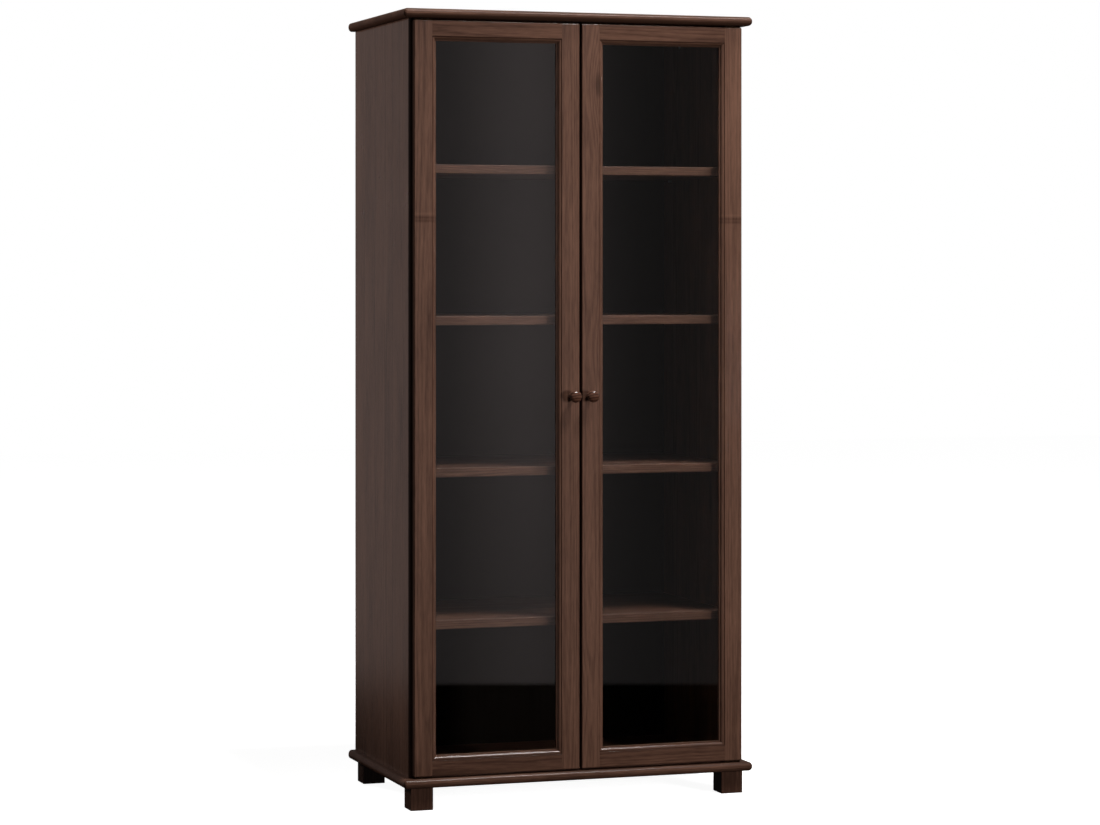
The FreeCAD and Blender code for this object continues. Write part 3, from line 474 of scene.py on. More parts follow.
@dataclass(frozen=True)
class WornSurface:
    """Metal or plastic with a fine texture, dulled or worn a little by handling."""

    name: str
    colour: Colour
    worn: Colour
    roughness: float = 0.32
    metallic: float = 1.0
    mark_scale: float = 45.0
    smear_roughness: float = 0.12
    speck_roughness: float = 0.15
    texture: Triple = (300, 2200, 2200)
    relief: float = 0.00002
    bump_strength: float = 0.4

    def make(self, groups: dict[str, Tree]) -> bpy.types.Material:
        """Builds the material.

        Args:
            groups: The shared effects by name.

        Returns:
            The material.
        """
        material, graph, surface = shader_graph(self.name)
        place = graph.object_place()
        marks = graph.group(groups["handling"], {"Place": place, "Scale": self.mark_scale})
        rough = graph.plus(
            self.roughness,
            graph.times(marks["Smear"], self.smear_roughness),
            graph.times(marks["Specks"], self.speck_roughness),
        )
        looks = {
            "Base Color": graph.mix(marks["Smear"], (*self.colour, 1), (*self.worn, 1)),
            "Roughness": rough,
            "Normal": graph.bump(self.bump_strength, self.relief, graph.noise(place, self.texture)),
            "Metallic": self.metallic,
        }
        graph.fill(surface, looks)
        return material


FINISHES = {
    Slot.STAINED_PINE: StainedWood("walnut_stained_pine", (0.050, 0.023, 0.015), (0.165, 0.081, 0.053)),
    Slot.LACQUERED_PINE: StainedWood(
        "lacquered_knob_pine",
        (0.040, 0.016, 0.010),
        (0.120, 0.052, 0.032),
        roughness=0.4,
        coat_roughness=0.05,
        ring_depth=0.75,
        ring_spacing=0.0065,
        fibre_depth=0.4,
    ),
    Slot.BACK_BOARD: StainedWood(
        "stained_back_board",
        (0.0040, 0.0028, 0.0022),
        (0.0075, 0.0053, 0.0043),
        roughness=0.7,
        coat=0.0,
        ring_depth=0.12,
        ring_spacing=0.012,
        fibre_depth=0.08,
        relief=0.00001,
        upright_place=True,
    ),
    Slot.BEECH: StainedWood(
        "plain_dowel_beech",
        (0.42, 0.26, 0.15),
        (0.62, 0.43, 0.28),
        roughness=0.6,
        coat=0.0,
        ring_spacing=0.002,
        upright_place=True,
    ),
    Slot.GLASS: ClearGlass("clear_door_glass"),
    Slot.ZINC: WornSurface("zinc_plate", (0.62, 0.63, 0.65), (0.42, 0.43, 0.45)),
    Slot.BRASS: WornSurface("browned_brass", (0.12, 0.078, 0.045), (0.05, 0.032, 0.02), roughness=0.45),
    Slot.MAGNET: WornSurface("dark_magnet", (0.20, 0.20, 0.21), (0.12, 0.12, 0.13), roughness=0.45),
    Slot.PLASTIC: WornSurface(
        "brown_catch_plastic",
        (0.045, 0.024, 0.016),
        (0.06075, 0.0324, 0.0216),
        roughness=0.5,
        metallic=0.0,
        mark_scale=30.0,
        smear_roughness=0.0,
        speck_roughness=0.1,
        texture=(2500, 2500, 2500),
        relief=0.00003,
        bump_strength=0.3,
    ),
}


# ---------------------------------------------------------------- mesh tools


def quarter(steps: int) -> list[float]:
    """Evenly spaced angles over a quarter turn, with both its ends."""
    return [step * math.pi / 2 / steps for step in range(steps + 1)]


def full_turn(sides: int) -> list[float]:
    """Evenly spaced angles round a circle."""
    return [2 * math.pi * side / sides for side in range(sides)]


def eased_end(radius: float, steps: int) -> list[Flat]:
    """A rounded end's steps as (inset, rise), from the end face up."""
    return [(radius * (1 - math.sin(turn)), radius * (1 - math.cos(turn))) for turn in quarter(steps)]


def skin(shell: Shell, first: Sequence, second: Sequence, closed: bool = True) -> None:
    """Joins two rows of equally many vertices by faces.

    Args:
        shell: The mesh that the vertices are in.
        first: One row.
        second: The next row.
        closed: Whether the rows' last vertices are joined to their first ones.
    """
    count = len(first)
    for here in range(count if closed else count - 1):
        there = (here + 1) % count
        shell.faces.new((first[here], first[there], second[there], second[here]))


def closed_loft(rings: Sequence[Sequence[Vector]]) -> Shell:
    """A closed shell through rings of equally many points, with a flat face at each end.

    Args:
        rings: The rings in order.

    Returns:
        The shell.
    """
    shell = bmesh.new()
    rows = [[shell.verts.new(point) for point in ring] for ring in rings]
    for first, second in zip(rows, rows[1:]):
        skin(shell, first, second)
    shell.faces.new(rows[0])
    shell.faces.new(rows[-1])
    bmesh.ops.recalc_face_normals(shell, faces=shell.faces[:])
    return shell


def stacked(layers: Iterable[tuple[float, list[Flat]]]) -> Shell:
    """A closed shell through plans at their heights."""
    return closed_loft([[Vector((*point, z)) for point in plan] for z, plan in layers])


def corner(centre: Flat, radius: float, start: float, steps: int) -> list[Flat]:
    """The points of a quarter turn.

    Args:
        centre: Its middle.
        radius: Its radius. Where there is none, the middle is the one point.
        start: The angle it starts at.
        steps: The number of its steps.

    Returns:
        The points, anticlockwise.
    """
    if not radius:
        return [centre]
    angles = [start + turn for turn in quarter(steps)]
    return [(centre[0] + radius * math.cos(a), centre[1] + radius * math.sin(a)) for a in angles]


def rounded_outline(low: Flat, high: Flat, radii: Sequence[float], steps: int = 5) -> list[Flat]:
    """A rectangle with its own radius at each corner.

    Args:
        low: The lowest corner.
        high: The highest corner.
        radii: The radii from the lowest corner, anticlockwise. A radius of 0 is a single point.
        steps: The number of steps round a corner.

    Returns:
        The points, anticlockwise.
    """
    middles = [
        (low[0] + radii[0], low[1] + radii[0]),
        (high[0] - radii[1], low[1] + radii[1]),
        (high[0] - radii[2], high[1] - radii[2]),
        (low[0] + radii[3], high[1] - radii[3]),
    ]
    starts = (math.pi, 1.5 * math.pi, 0, 0.5 * math.pi)
    return [point for item in zip(middles, radii, starts) for point in corner(*item, steps)]


def soften(shell: Shell, width: float) -> None:
    """Takes the arris off the sharp edges.

    Args:
        shell: The mesh.
        width: How far the softened edge reaches.
    """
    inner = [edge for edge in shell.edges if len(edge.link_faces) == 2]
    edges = [edge for edge in inner if edge.calc_face_angle(0) > SOFTENED_ANGLE]
    bmesh.ops.bevel(
        shell, geom=edges, offset=width, segments=2, profile=0.5, affect="EDGES", clamp_overlap=True
    )


@dataclass(frozen=True)
class Boards:
    """How a wooden piece is cut or glued up: which way its boards run, and where they meet."""

    along: Axis
    across: Axis
    seed: int
    seams: tuple[float, ...] = ()
    tone: float = 0.0
    tone_spread: float = 0.05
    gloss: float = 1.0
    trunk_places: Flat = (2, 40)
    pith_aside: Flat = (-0.02, 0.02)
    pith_depth: Flat = (0.02, 0.07)
    cut_distance: float = 1e-6

    def cut(self, shell: Shell, axis: int, places: Iterable[float]) -> None:
        """Cuts the faces of a mesh, and leaves its shape alone.

        Args:
            shell: The mesh.
            axis: The number of the axis that the cuts are square to.
            places: Where along it they are.
        """
        normal = Vector([float(number == axis) for number in range(3)])
        for place in places:
            everything = shell.verts[:] + shell.edges[:] + shell.faces[:]
            bmesh.ops.bisect_plane(
                shell, geom=everything, dist=self.cut_distance, plane_co=normal * place, plane_no=normal
            )

    def lay(
        self, shell: Shell, painted_light_and_stain: Callable[[Vector], float] | None = None, cuts: Sequence[float] = ()
    ) -> None:
        """Writes each board's own directions, tone and glue lines to the mesh, with its stain, its painted
        light and its gloss.

        Args:
            shell: The finished shape. It is cut along the glue lines.
            painted_light_and_stain: Says how much darker a place is made, from 0 to 1, by gathered stain
                and by painted shade. Below 0 it is paler, as a painted highlight.
            cuts: Where along the boards the mesh is cut across, so that the stain can change there.
        """
        along, across = self.along.value, self.across.value
        through = 3 - along - across
        self.cut(shell, across, self.seams)
        self.cut(shell, along, cuts)
        values = [vertex.co[across] for vertex in shell.verts]
        limits = [min(values), *self.seams, max(values)]
        depth = min(vertex.co[through] for vertex in shell.verts)
        layers = shell.loops.layers
        grain_layer, seam_layer = layers.float_vector.new(GRAIN), layers.float_vector.new(SEAM)
        tone_layer, painted_light_and_stain_layer, gloss_layer = (layers.float.new(name) for name in (TONE, PAINTED_LIGHT_AND_STAIN, GLOSS))
        chance = random.Random(self.seed)
        ranges = (self.trunk_places, self.pith_aside, self.pith_depth, (-1, 1))
        boards = [[chance.uniform(*limit) for limit in ranges] for _ in limits[1:]]
        for face in shell.faces:
            number = min(bisect(self.seams, face.calc_center_median()[across]), len(boards) - 1)
            run, aside, pith, shade = boards[number]
            low, high = limits[number], limits[number + 1]
            is_last = number == len(boards) - 1
            for loop in face.loops:
                place = loop.vert.co
                middle = (low + high) / 2
                loop[grain_layer] = (
                    place[along] + run,
                    place[across] - middle + aside,
                    place[through] - depth + pith,
                )
                below = place[across] - low if number else NO_SEAM
                loop[seam_layer] = (below, NO_SEAM if is_last else high - place[across], 0)
                loop[tone_layer] = self.tone + shade * self.tone_spread
                # Stain and painted light: above 0 a place is darker and its coat duller, for gathered stain
                # and for painted shade; below 0 it is paler, a painted highlight.
                stain = painted_light_and_stain(place) if painted_light_and_stain else 0.0
                loop[painted_light_and_stain_layer] = stain
                loop[gloss_layer] = self.gloss * (1 - min(max(stain, 0.0), 1.0))


def shade_smooth(mesh: bpy.types.Mesh, mend: bool = False) -> None:
    """Shades a mesh smooth across its rounded places and flat elsewhere.

    Args:
        mesh: The mesh.
        mend: Whether its faces are first turned to face outwards.
    """
    shell = bmesh.new()
    shell.from_mesh(mesh)
    if mend:
        bmesh.ops.recalc_face_normals(shell, faces=shell.faces[:])
    for face in shell.faces:
        face.smooth = True
    for edge in shell.edges:
        edge.smooth = edge.calc_face_angle(0) < SHARP_ANGLE
    shell.to_mesh(mesh)
    shell.free()


def settle(piece: Piece) -> None:
    """Works out a piece's modifiers for good, so that it is a plain mesh.

    Args:
        piece: The object.
    """
    graph = bpy.context.evaluated_depsgraph_get()
    evaluated = piece.evaluated_get(graph)
    mesh = bpy.data.meshes.new_from_object(evaluated, preserve_all_data_layers=True, depsgraph=graph)
    old = piece.data
    piece.modifiers.clear()
    piece.data = mesh
    mesh.name = piece.name
    if not old.users:
        bpy.data.meshes.remove(old)


def placed_object(name: str, data: object) -> Piece:
    """A new object in the scene.

    Args:
        name: Its name.
        data: Its mesh, lamp or camera.

    Returns:
        The object.
    """
    piece = bpy.data.objects.new(name, data)
    bpy.context.scene.collection.objects.link(piece)
    return piece


def plain_object(name: str, shell: Shell) -> Piece:
    """An object with a shell for its mesh.

    Args:
        name: Its name.
        shell: Its shape, which is used up.

    Returns:
        The object.
    """
    mesh = bpy.data.meshes.new(name)
    shell.to_mesh(mesh)
    shell.free()
    return placed_object(name, mesh)


def carved(shell: Shell, cutters: Iterable[Shell]) -> Shell:
    """A shell with other shells cut out of it.

    Args:
        shell: The shape to cut.
        cutters: The shapes to take away.

    Returns:
        What is left.
    """
    piece = plain_object("carved", shell)
    tools = [plain_object("cutter", cutter) for cutter in cutters]
    for tool in tools:
        cut = piece.modifiers.new("cut", "BOOLEAN")
        cut.operation, cut.solver, cut.object = "DIFFERENCE", "EXACT", tool
    settle(piece)
    left = bmesh.new()
    left.from_mesh(piece.data)
    for item in (piece, *tools):
        mesh = item.data
        bpy.data.objects.remove(item)
        bpy.data.meshes.remove(mesh)
    return left


def block(low: Sequence[float], high: Sequence[float]) -> Shell:
    """A square-edged block, for cutting with."""
    outline = rounded_outline(low[:2], high[:2], (0, 0, 0, 0))
    return stacked((z, outline) for z in (low[2], high[2]))


def rod(start: Vector, end: Vector, radius: float, sides: int = 40) -> Shell:
    """A round bar from start to end, for cutting with.

    Args:
        start: The middle of one end.
        end: The middle of the other.
        radius: Its radius.
        sides: How many flats it has.

    Returns:
        The bar.
    """
    turn = (end - start).to_track_quat("Z", "X")
    ring = [Vector((radius * math.cos(a), radius * math.sin(a), 0)) for a in full_turn(sides)]
    return closed_loft([[middle + turn @ point for point in ring] for middle in (start, end)])


class Workshop:
    """Turns finished shells into dressed pieces that ride on the bookcase's bodies."""

    def __init__(self) -> None:
        """Builds the shared effects and every finish once."""
        groups = {"pine_figure": PineFigure().make(), "handling": HandlingMarks().make()}
        self.materials = {slot: finish.make(groups) for slot, finish in FINISHES.items()}

    def dress(self, kept: dict[str, Slot], prefix: str = "") -> None:
        """Gives the CAD nodes that stay their materials.

        Args:
            kept: Each node's finish by its name.
            prefix: What all the names start with.
        """
        for name, slot in kept.items():
            for material_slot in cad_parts[prefix + name].material_slots:
                material_slot.material = self.materials[slot]
            log.info("kept %s in %s", prefix + name, slot.value)

    def fit(self, piece: Piece, body: Body, slot: Slot, nodes: Sequence[str]) -> None:
        """Dresses a piece and makes it ride in the place of the CAD nodes that it stands for.

        Args:
            piece: The object, with its final mesh.
            body: What it moves with.
            slot: Its finish.
            nodes: The CAD nodes that it replaces.
        """
        piece.data.materials.clear()
        piece.data.materials.append(self.materials[slot])
        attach(piece, body.value)
        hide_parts(*nodes)
        log.info("built %s: %d faces on %s", piece.name, len(piece.data.polygons), body.value)

    def finish_shell(self, name: str, shell: Shell, body: Body, slot: Slot, nodes: Sequence[str]) -> None:
        """Makes a piece of a shell: shades it, weighs its normals and fits it.

        Args:
            name: The piece's name.
            shell: Its shape.
            body: What it moves with.
            slot: Its finish.
            nodes: The CAD nodes that it replaces.
        """
        piece = plain_object(name, shell)
        shade_smooth(piece.data)
        piece.modifiers.new("weigh_normals", "WEIGHTED_NORMAL").keep_sharp = True
        settle(piece)
        self.fit(piece, body, slot, nodes)


# ---------------------------------------------------------------- carcass


@dataclass
class CabinetPiece:
    """A wooden piece of the cabinet that stands for one CAD node."""

    workshop: Workshop
    node: str
    seed: int

    def finish(self, name: str, shell: Shell) -> None:
        """Finishes the piece in stained pine."""
        self.workshop.finish_shell(name, shell, Body.CABINET, Slot.STAINED_PINE, [self.node])


@dataclass
class BullnosedSlab(CabinetPiece):
    """The top or bottom slab, rounded on its front and its ends, and rebated for the back."""

    name: str
    inner_side: int
    gloss: float = 0.15
    # How much painted shade darkens the slab's lower half and its underside.
    underside_painted_shade: float = 0.0
    seats: Sequence[Vector] = ()
    bullnose: float = 10 * MM
    corner_radius: float = 7 * MM
    least_radius: float = 0.3 * MM
    steps: int = 8
    corner_steps: int = 4
    tone: float = -0.24
    painted_shade_fade: float = 1.6
    arris: float = 0.5 * MM
    board_width: float = 122 * MM
    first_width: Flat = (0.75, 1.0)
    next_width: Flat = (0.85, 1.1)
    least_width: float = 0.5
    cut_reach: float = 10 * MM
    seat_depth: float = 3.2 * MM
    seat_radius: float = 5.05 * MM

    def outline(self, inset: float) -> list[Flat]:
        """The plan of the slab at one height.

        Args:
            inset: How far its rounded edges stand back there.

        Returns:
            The points.
        """
        low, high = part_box(self.node)
        radius = max(self.corner_radius - inset, self.least_radius)
        corners = (low.x + inset, low.y + inset), (high.x - inset, high.y)
        return rounded_outline(*corners, [radius] * 4, self.corner_steps)

    def shell(self) -> Shell:
        """Builds the slab's solid form.

        Returns:
            The closed shell.
        """
        low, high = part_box(self.node)
        under = [(inset, low.z + rise) for inset, rise in eased_end(self.bullnose, self.steps)]
        over = [(inset, low.z + high.z - z) for inset, z in reversed(under)]
        return stacked((z, self.outline(inset)) for inset, z in under + over)

    def cutters(self) -> list[Shell]:
        """Builds what is cut out of the slab.

        Returns:
            The rebate for the back, and the screw seats.
        """
        low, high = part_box(self.node)
        back_low, back_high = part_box("back_panel")
        z_range = (low.z - self.cut_reach, back_high.z)
        if self.inner_side > 0:
            z_range = (back_low.z, high.z + self.cut_reach)
        end = (back_high.x, high.y + self.cut_reach)
        rebate = block((back_low.x, back_low.y, z_range[0]), (*end, z_range[1]))
        below, above = Vector((0, 0, self.cut_reach)), Vector((0, 0, self.seat_depth))
        return [rebate, *(rod(seat - below, seat + above, self.seat_radius) for seat in self.seats)]

    def build(self) -> None:
        """Makes the slab of glued boards that run from end to end."""
        low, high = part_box(self.node)
        shell = carved(self.shell(), self.cutters())
        soften(shell, self.arris)
        chance = random.Random(self.seed)
        seams, y = [], low.y + self.board_width * chance.uniform(*self.first_width)
        while y < high.y - self.board_width * self.least_width:
            seams.append(y)
            y += self.board_width * chance.uniform(*self.next_width)

        def painted_light_and_stain(place: Vector) -> float:
            """How much painted shade lies at a place.

            Args:
                place: The place.

            Returns:
                None above the middle of the slab, and most at its underside: painted shade on the lower
                half of the bullnose and under the slab.
            """
            depth = ((low.z + high.z) / 2 - place.z) / (high.z - low.z) * 2
            return self.underside_painted_shade * min(max(depth * self.painted_shade_fade, 0.0), 1.0)

        Boards(Axis.X, Axis.Y, self.seed, tuple(seams), tone=self.tone, gloss=self.gloss).lay(shell, painted_light_and_stain)
        self.finish(self.name, shell)


@dataclass
class SidePanel(CabinetPiece):
    """A side of the carcass: three glued boards with a rounded front, rebated for the back."""

    inward: int
    front_radius: float = 4 * MM
    board_widths: Flat = (133 * MM, 151 * MM)
    tone: float = -0.02
    tone_spread: float = 0.08
    pocket_start: float = 5 * MM
    pocket_play: float = 0.1 * MM
    pocket_sides: int = 48

    def outline(self) -> list[Flat]:
        """The plan of the panel.

        Returns:
            The points, with the notch for the back at the inner corner.
        """
        low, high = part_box(self.node)
        back_low, back_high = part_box("back_panel")
        radii = (self.front_radius, self.front_radius, 0, 0)
        plan = rounded_outline((low.x, low.y), (high.x, high.y), radii)
        if self.inward > 0:
            notch = [(high.x, back_low.y), (back_low.x, back_low.y), (back_low.x, high.y)]
            return plan[:-2] + notch + plan[-1:]
        return plan[:-1] + [(back_high.x, high.y), (back_high.x, back_low.y), (low.x, back_low.y)]

    def cam_pockets(self) -> list[Shell]:
        """Builds the round pockets for the cams, in the inner face.

        Returns:
            The bars to cut them with.
        """
        low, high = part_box(self.node)
        cam_low, cam_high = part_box("cam_locks")
        radius, middle = (cam_high.z - cam_low.z) / 2, (cam_low.z + cam_high.z) / 2
        start, end = (high.x, cam_low.x) if self.inward > 0 else (low.x, cam_high.x)
        start += self.inward * self.pocket_start
        width = radius + self.pocket_play
        return [
            rod(Vector((start, y, middle)), Vector((end, y, middle)), width, self.pocket_sides)
            for y in (cam_low.y + radius, cam_high.y - radius)
        ]

    def build(self) -> None:
        """Makes the panel of boards that stand upright."""
        low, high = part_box(self.node)
        plan = self.outline()
        shell = carved(stacked((z, plan) for z in (low.z, high.z)), self.cam_pockets())
        first = low.y + self.board_widths[0]
        seams = (first, first + self.board_widths[1])
        Boards(Axis.Z, Axis.Y, self.seed, seams, self.tone, self.tone_spread).lay(shell)
        self.finish(self.node.replace("panel", "boards"), shell)


@dataclass
class Shelf(CabinetPiece):
    """One shelf of glued boards, with its front edges eased."""

    seam_seed: int
    edge_radius: float = 1.5 * MM
    edge_steps: int = 4
    arris: float = 0.4 * MM
    board_width: float = 118 * MM
    first_width: Flat = (0.7, 1.05)
    tone: float = -0.42
    gloss: float = 0.15

    def build(self) -> None:
        """Makes the shelf."""
        low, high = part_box(self.node)
        radii = (self.edge_radius, 0, 0, self.edge_radius)
        section = rounded_outline((low.y, low.z), (high.y, high.z), radii, self.edge_steps)
        shell = closed_loft([[Vector((x, *point)) for point in section] for x in (low.x, high.x)])
        soften(shell, self.arris)
        first = low.y + self.board_width * random.Random(self.seam_seed).uniform(*self.first_width)
        seams = tuple(first + number * self.board_width for number in range(3))
        Boards(Axis.X, Axis.Y, self.seed, seams, tone=self.tone, gloss=self.gloss).lay(shell)
        self.finish(f"{self.node}_boards", shell)


@dataclass
class Foot(CabinetPiece):
    """A square foot with eased edges."""

    edge_radius: float = 1.5 * MM
    least_radius: float = 0.1 * MM
    steps: int = 4
    # The feet's dark tone is partly painted shade, for the shade under the bottom slab, and partly darker
    # wood.
    tone: float = -0.40

    def outline(self, inset: float) -> list[Flat]:
        """The plan of the foot at one height.

        Args:
            inset: How far its rounded edges stand back there.

        Returns:
            The points.
        """
        low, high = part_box(self.node)
        radius = max(self.edge_radius - inset, self.least_radius)
        corners = (low.x + inset, low.y + inset), (high.x - inset, high.y - inset)
        return rounded_outline(*corners, [radius] * 4, self.steps)

    def build(self) -> None:
        """Makes the foot, rounded everywhere but at the top."""
        low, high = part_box(self.node)
        rings = [(inset, low.z + rise) for inset, rise in eased_end(self.edge_radius, self.steps)]
        shell = stacked((z, self.outline(inset)) for inset, z in [*rings, (0, high.z)])
        Boards(Axis.Z, Axis.X, self.seed, tone=self.tone).lay(shell)
        self.finish(f"{self.node}_block", shell)


@dataclass
class Carcass:
    """The fixed body of the bookcase."""

    workshop: Workshop
    shelf_count: int = 4
    top_gloss: float = 0.06
    # Painted shade on the top slab's lower half and underside, with a duller coat there.
    top_painted_shade: float = 1.0
    seat_x: float = 0.396
    seat_y: Flat = (-0.090, 0.149)
    shelf_seeds: tuple[int, int] = (50, 40)
    foot_seed: int = 60

    def build(self) -> None:
        """Makes the slabs, sides, shelves and feet, and dresses what stays from the CAD."""
        shop = self.workshop
        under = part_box("bottom_panel")[0].z
        seats = [Vector((x, y, under)) for x in (self.seat_x, -self.seat_x) for y in self.seat_y]
        top = BullnosedSlab(shop, "top_panel", seed=11, name="bullnosed_top", inner_side=-1)
        top.gloss, top.underside_painted_shade = self.top_gloss, self.top_painted_shade
        bottom = BullnosedSlab(shop, "bottom_panel", seed=12, name="bullnosed_bottom", inner_side=1)
        bottom.seats = seats
        left = SidePanel(shop, "left_side_panel", seed=21, inward=1)
        right = SidePanel(shop, "right_side_panel", seed=22, inward=-1)
        for piece in (top, bottom, left, right):
            piece.build()
        for level in range(1, self.shelf_count + 1):
            Shelf(shop, f"shelf_{level}", *(seed + level for seed in self.shelf_seeds)).build()
        corners = [f"{depth}_{side}_foot" for depth in ("front", "back") for side in ("left", "right")]
        for seed, node in enumerate(corners, self.foot_seed):
            Foot(shop, node, seed).build()
        shop.dress({"back_panel": Slot.BACK_BOARD, "carcass_dowels": Slot.BEECH})
        shop.dress(dict.fromkeys(("cam_locks", "cam_bolts", "foot_bolts", "carcass_screws"), Slot.ZINC))


# ---------------------------------------------------------------- doors


@dataclass(frozen=True)
class MemberSection:
    """The moulded section of a door's stiles and rails, measured from its outer edge and its front."""

    edge_radius: float = 3 * MM
    least_radius: float = 0.05 * MM
    thickness: float = 21 * MM
    moulding: float = 10.8 * MM
    quirk_width: float = 1.5 * MM
    quirk_depth: float = 1.6 * MM
    ovolo: float = 7 * MM
    glass_front: float = 12 * MM
    rebate: float = 8 * MM
    ovolo_steps: int = 10
    edge_steps: int = 6

    def flat_part(self, flat: float, inset: float = 0.0) -> list[Flat]:
        """The part of the section from the moulding's start round the outer edge to the back.

        Args:
            flat: How far the moulding starts from the outer edge.
            inset: How far the front, edge and back stand back, at a rounded end.

        Returns:
            Points (across, deep) from the front at the moulding's start to the back there.
        """
        radius = max(self.edge_radius - inset, self.least_radius)
        high = (flat, self.thickness - inset)
        outline = rounded_outline((inset, inset), high, (radius, 0, 0, radius), self.edge_steps)
        count = self.edge_steps + 1
        near_front, far, near_back = outline[:count], outline[count : count + 2], outline[count + 2 :]
        return [far[0], *reversed(near_front), *reversed(near_back), far[1]]

    def moulded_part(self, flat: float) -> list[Flat]:
        """The moulding and the glass rebate.

        Args:
            flat: How far the moulding starts from the outer edge.

        Returns:
            Points (across, deep) from the front at the moulding's start to the back there.
        """
        start, width = flat + self.quirk_width, flat + self.moulding
        lip = self.quirk_depth + self.ovolo
        turns = quarter(self.ovolo_steps)
        return [
            (flat, self.quirk_depth),
            *((start + self.ovolo * math.sin(turn), lip - self.ovolo * math.cos(turn)) for turn in turns),
            (width, lip),
            (width, self.glass_front),
            (width - self.rebate, self.glass_front),
            (width - self.rebate, self.thickness),
        ]


@dataclass(frozen=True)
class Run:
    """A strip's own directions in a door: across from its outer edge, deep, and along it."""

    is_upright: bool
    outer: float
    sign: int
    front: float
    start: float

    @property
    def axes(self) -> tuple[Axis, Axis]:
        """The directions along and across the strip."""
        return (Axis.Z, Axis.X) if self.is_upright else (Axis.X, Axis.Z)

    def place(self, across: float, deep: float, along: float) -> Vector:
        """A place on the strip.

        Args:
            across: How far it is from the outer edge.
            deep: How far it is from the front.
            along: How far it is from the strip's start.

        Returns:
            The place in the bookcase.
        """
        aside, ahead = self.outer + self.sign * across, self.start + along
        x, z = (aside, ahead) if self.is_upright else (ahead, aside)
        return Vector((x, self.front + deep, z))


@dataclass
class MouldedMember:
    """A stile or a rail, with its moulding mitred at both ends.

    A stile runs the whole length and is rounded at its ends, and a rail starts where the stiles' flats end.
    """

    run: Run
    length: float
    flat: float
    other_flat: float
    section: MemberSection = field(default_factory=MemberSection)
    joint_arris: float = 0.3 * MM

    def low_rings(self) -> list[Flat]:
        """The rings of the flat part at one end.

        Returns:
            Each ring's (along, inset). The last is where the mitre starts.
        """
        mitre = (self.other_flat, 0.0)
        if not self.run.is_upright:
            return [mitre]
        rounding = eased_end(self.section.edge_radius, self.section.edge_steps)
        return [*((rise, inset) for inset, rise in rounding), mitre]

    def shell(self) -> Shell:
        """Builds the member: its flat part, the moulding beside it and the mitres.

        Returns:
            The closed shell.
        """
        shell, place = bmesh.new(), self.run.place
        ends = self.low_rings()
        rings = ends + [(self.length - along, inset) for along, inset in reversed(ends)]
        rows = [
            [shell.verts.new(place(*point, along)) for point in self.section.flat_part(self.flat, inset)]
            for along, inset in rings
        ]
        for number, (first, second) in enumerate(zip(rows, rows[1:])):
            skin(shell, first, second, closed=number != len(ends) - 1)
        shell.faces.new(rows[0])
        shell.faces.new(rows[-1])
        low_row, high_row = rows[len(ends) - 1 : len(ends) + 1]
        start, end = self.other_flat, self.length - self.other_flat
        mitres = []
        for row, base, sign in ((low_row, start, 1), (high_row, end, -1)):
            edge = [
                shell.verts.new(place(across, deep, base + sign * (across - self.flat)))
                for across, deep in self.section.moulded_part(self.flat)
            ]
            mitres.append([row[0], *edge, row[-1]])
        skin(shell, *mitres, closed=False)
        for mitre in mitres:
            shell.faces.new(mitre)
        bmesh.ops.recalc_face_normals(shell, faces=shell.faces[:])
        soften(shell, self.joint_arris)
        return shell


@dataclass
class Knob:
    """A turned knob with a flat foot, a hollow neck and a slightly domed head."""

    base_radius: float = 9 * MM
    base_depth: float = 3 * MM
    base_ease: float = 0.4 * MM
    lip_ease: float = 0.3 * MM
    neck_radius: float = 6 * MM
    head_radius: float = 14 * MM
    head_depth: float = 17 * MM
    dome_rise: float = 1 * MM
    projection: float = 36 * MM
    cove_steps: int = 7
    rim_steps: int = 24
    dome_shares: tuple[float, ...] = (0.75, 0.5, 0.25)
    sides: int = 56

    def profile(self) -> list[Flat]:
        """The knob's outline.

        Returns:
            Points (radius, distance from the door), from the foot to the dome.
        """
        base, depth = self.base_radius, self.base_depth
        cove = base - self.neck_radius
        rim = (self.head_depth - self.dome_rise) / 2
        rim_middle = self.projection - self.dome_rise - rim
        inner = self.head_radius - rim
        points = [(base - self.base_ease, 0.0), (base, self.base_ease)]
        points += [(base, depth - self.lip_ease), (base - self.lip_ease, depth)]
        for turn in quarter(self.cove_steps)[1:]:
            points.append((base - cove * math.sin(turn), depth + cove * (1 - math.cos(turn))))
        for step in range(self.rim_steps + 1):
            turn = -math.pi / 2 + step * math.pi / self.rim_steps
            points.append((inner + rim * math.cos(turn), rim_middle + rim * math.sin(turn)))
        ball = (inner * inner + self.dome_rise * self.dome_rise) / self.dome_rise / 2
        for radius in (inner * share for share in self.dome_shares):
            drop = ball - math.sqrt(ball * ball - radius * radius)
            points.append((radius, self.projection - drop))
        return points

    def shell(self, centre: Vector) -> Shell:
        """Builds the knob on its own axis.

        Args:
            centre: The middle of its foot. Its head lies towards the front.

        Returns:
            The closed shell.
        """
        shell = bmesh.new()
        rows = [
            [
                shell.verts.new(centre + Vector((radius * math.cos(a), -out, radius * math.sin(a))))
                for a in full_turn(self.sides)
            ]
            for radius, out in self.profile()
        ]
        for first, second in zip(rows, rows[1:]):
            skin(shell, first, second)
        shell.faces.new(rows[0])
        tip = shell.verts.new(centre + FORWARD * self.projection)
        for here, there in zip(rows[-1], rows[-1][1:] + rows[-1][:1]):
            shell.faces.new((here, there, tip))
        bmesh.ops.recalc_face_normals(shell, faces=shell.faces[:])
        return shell


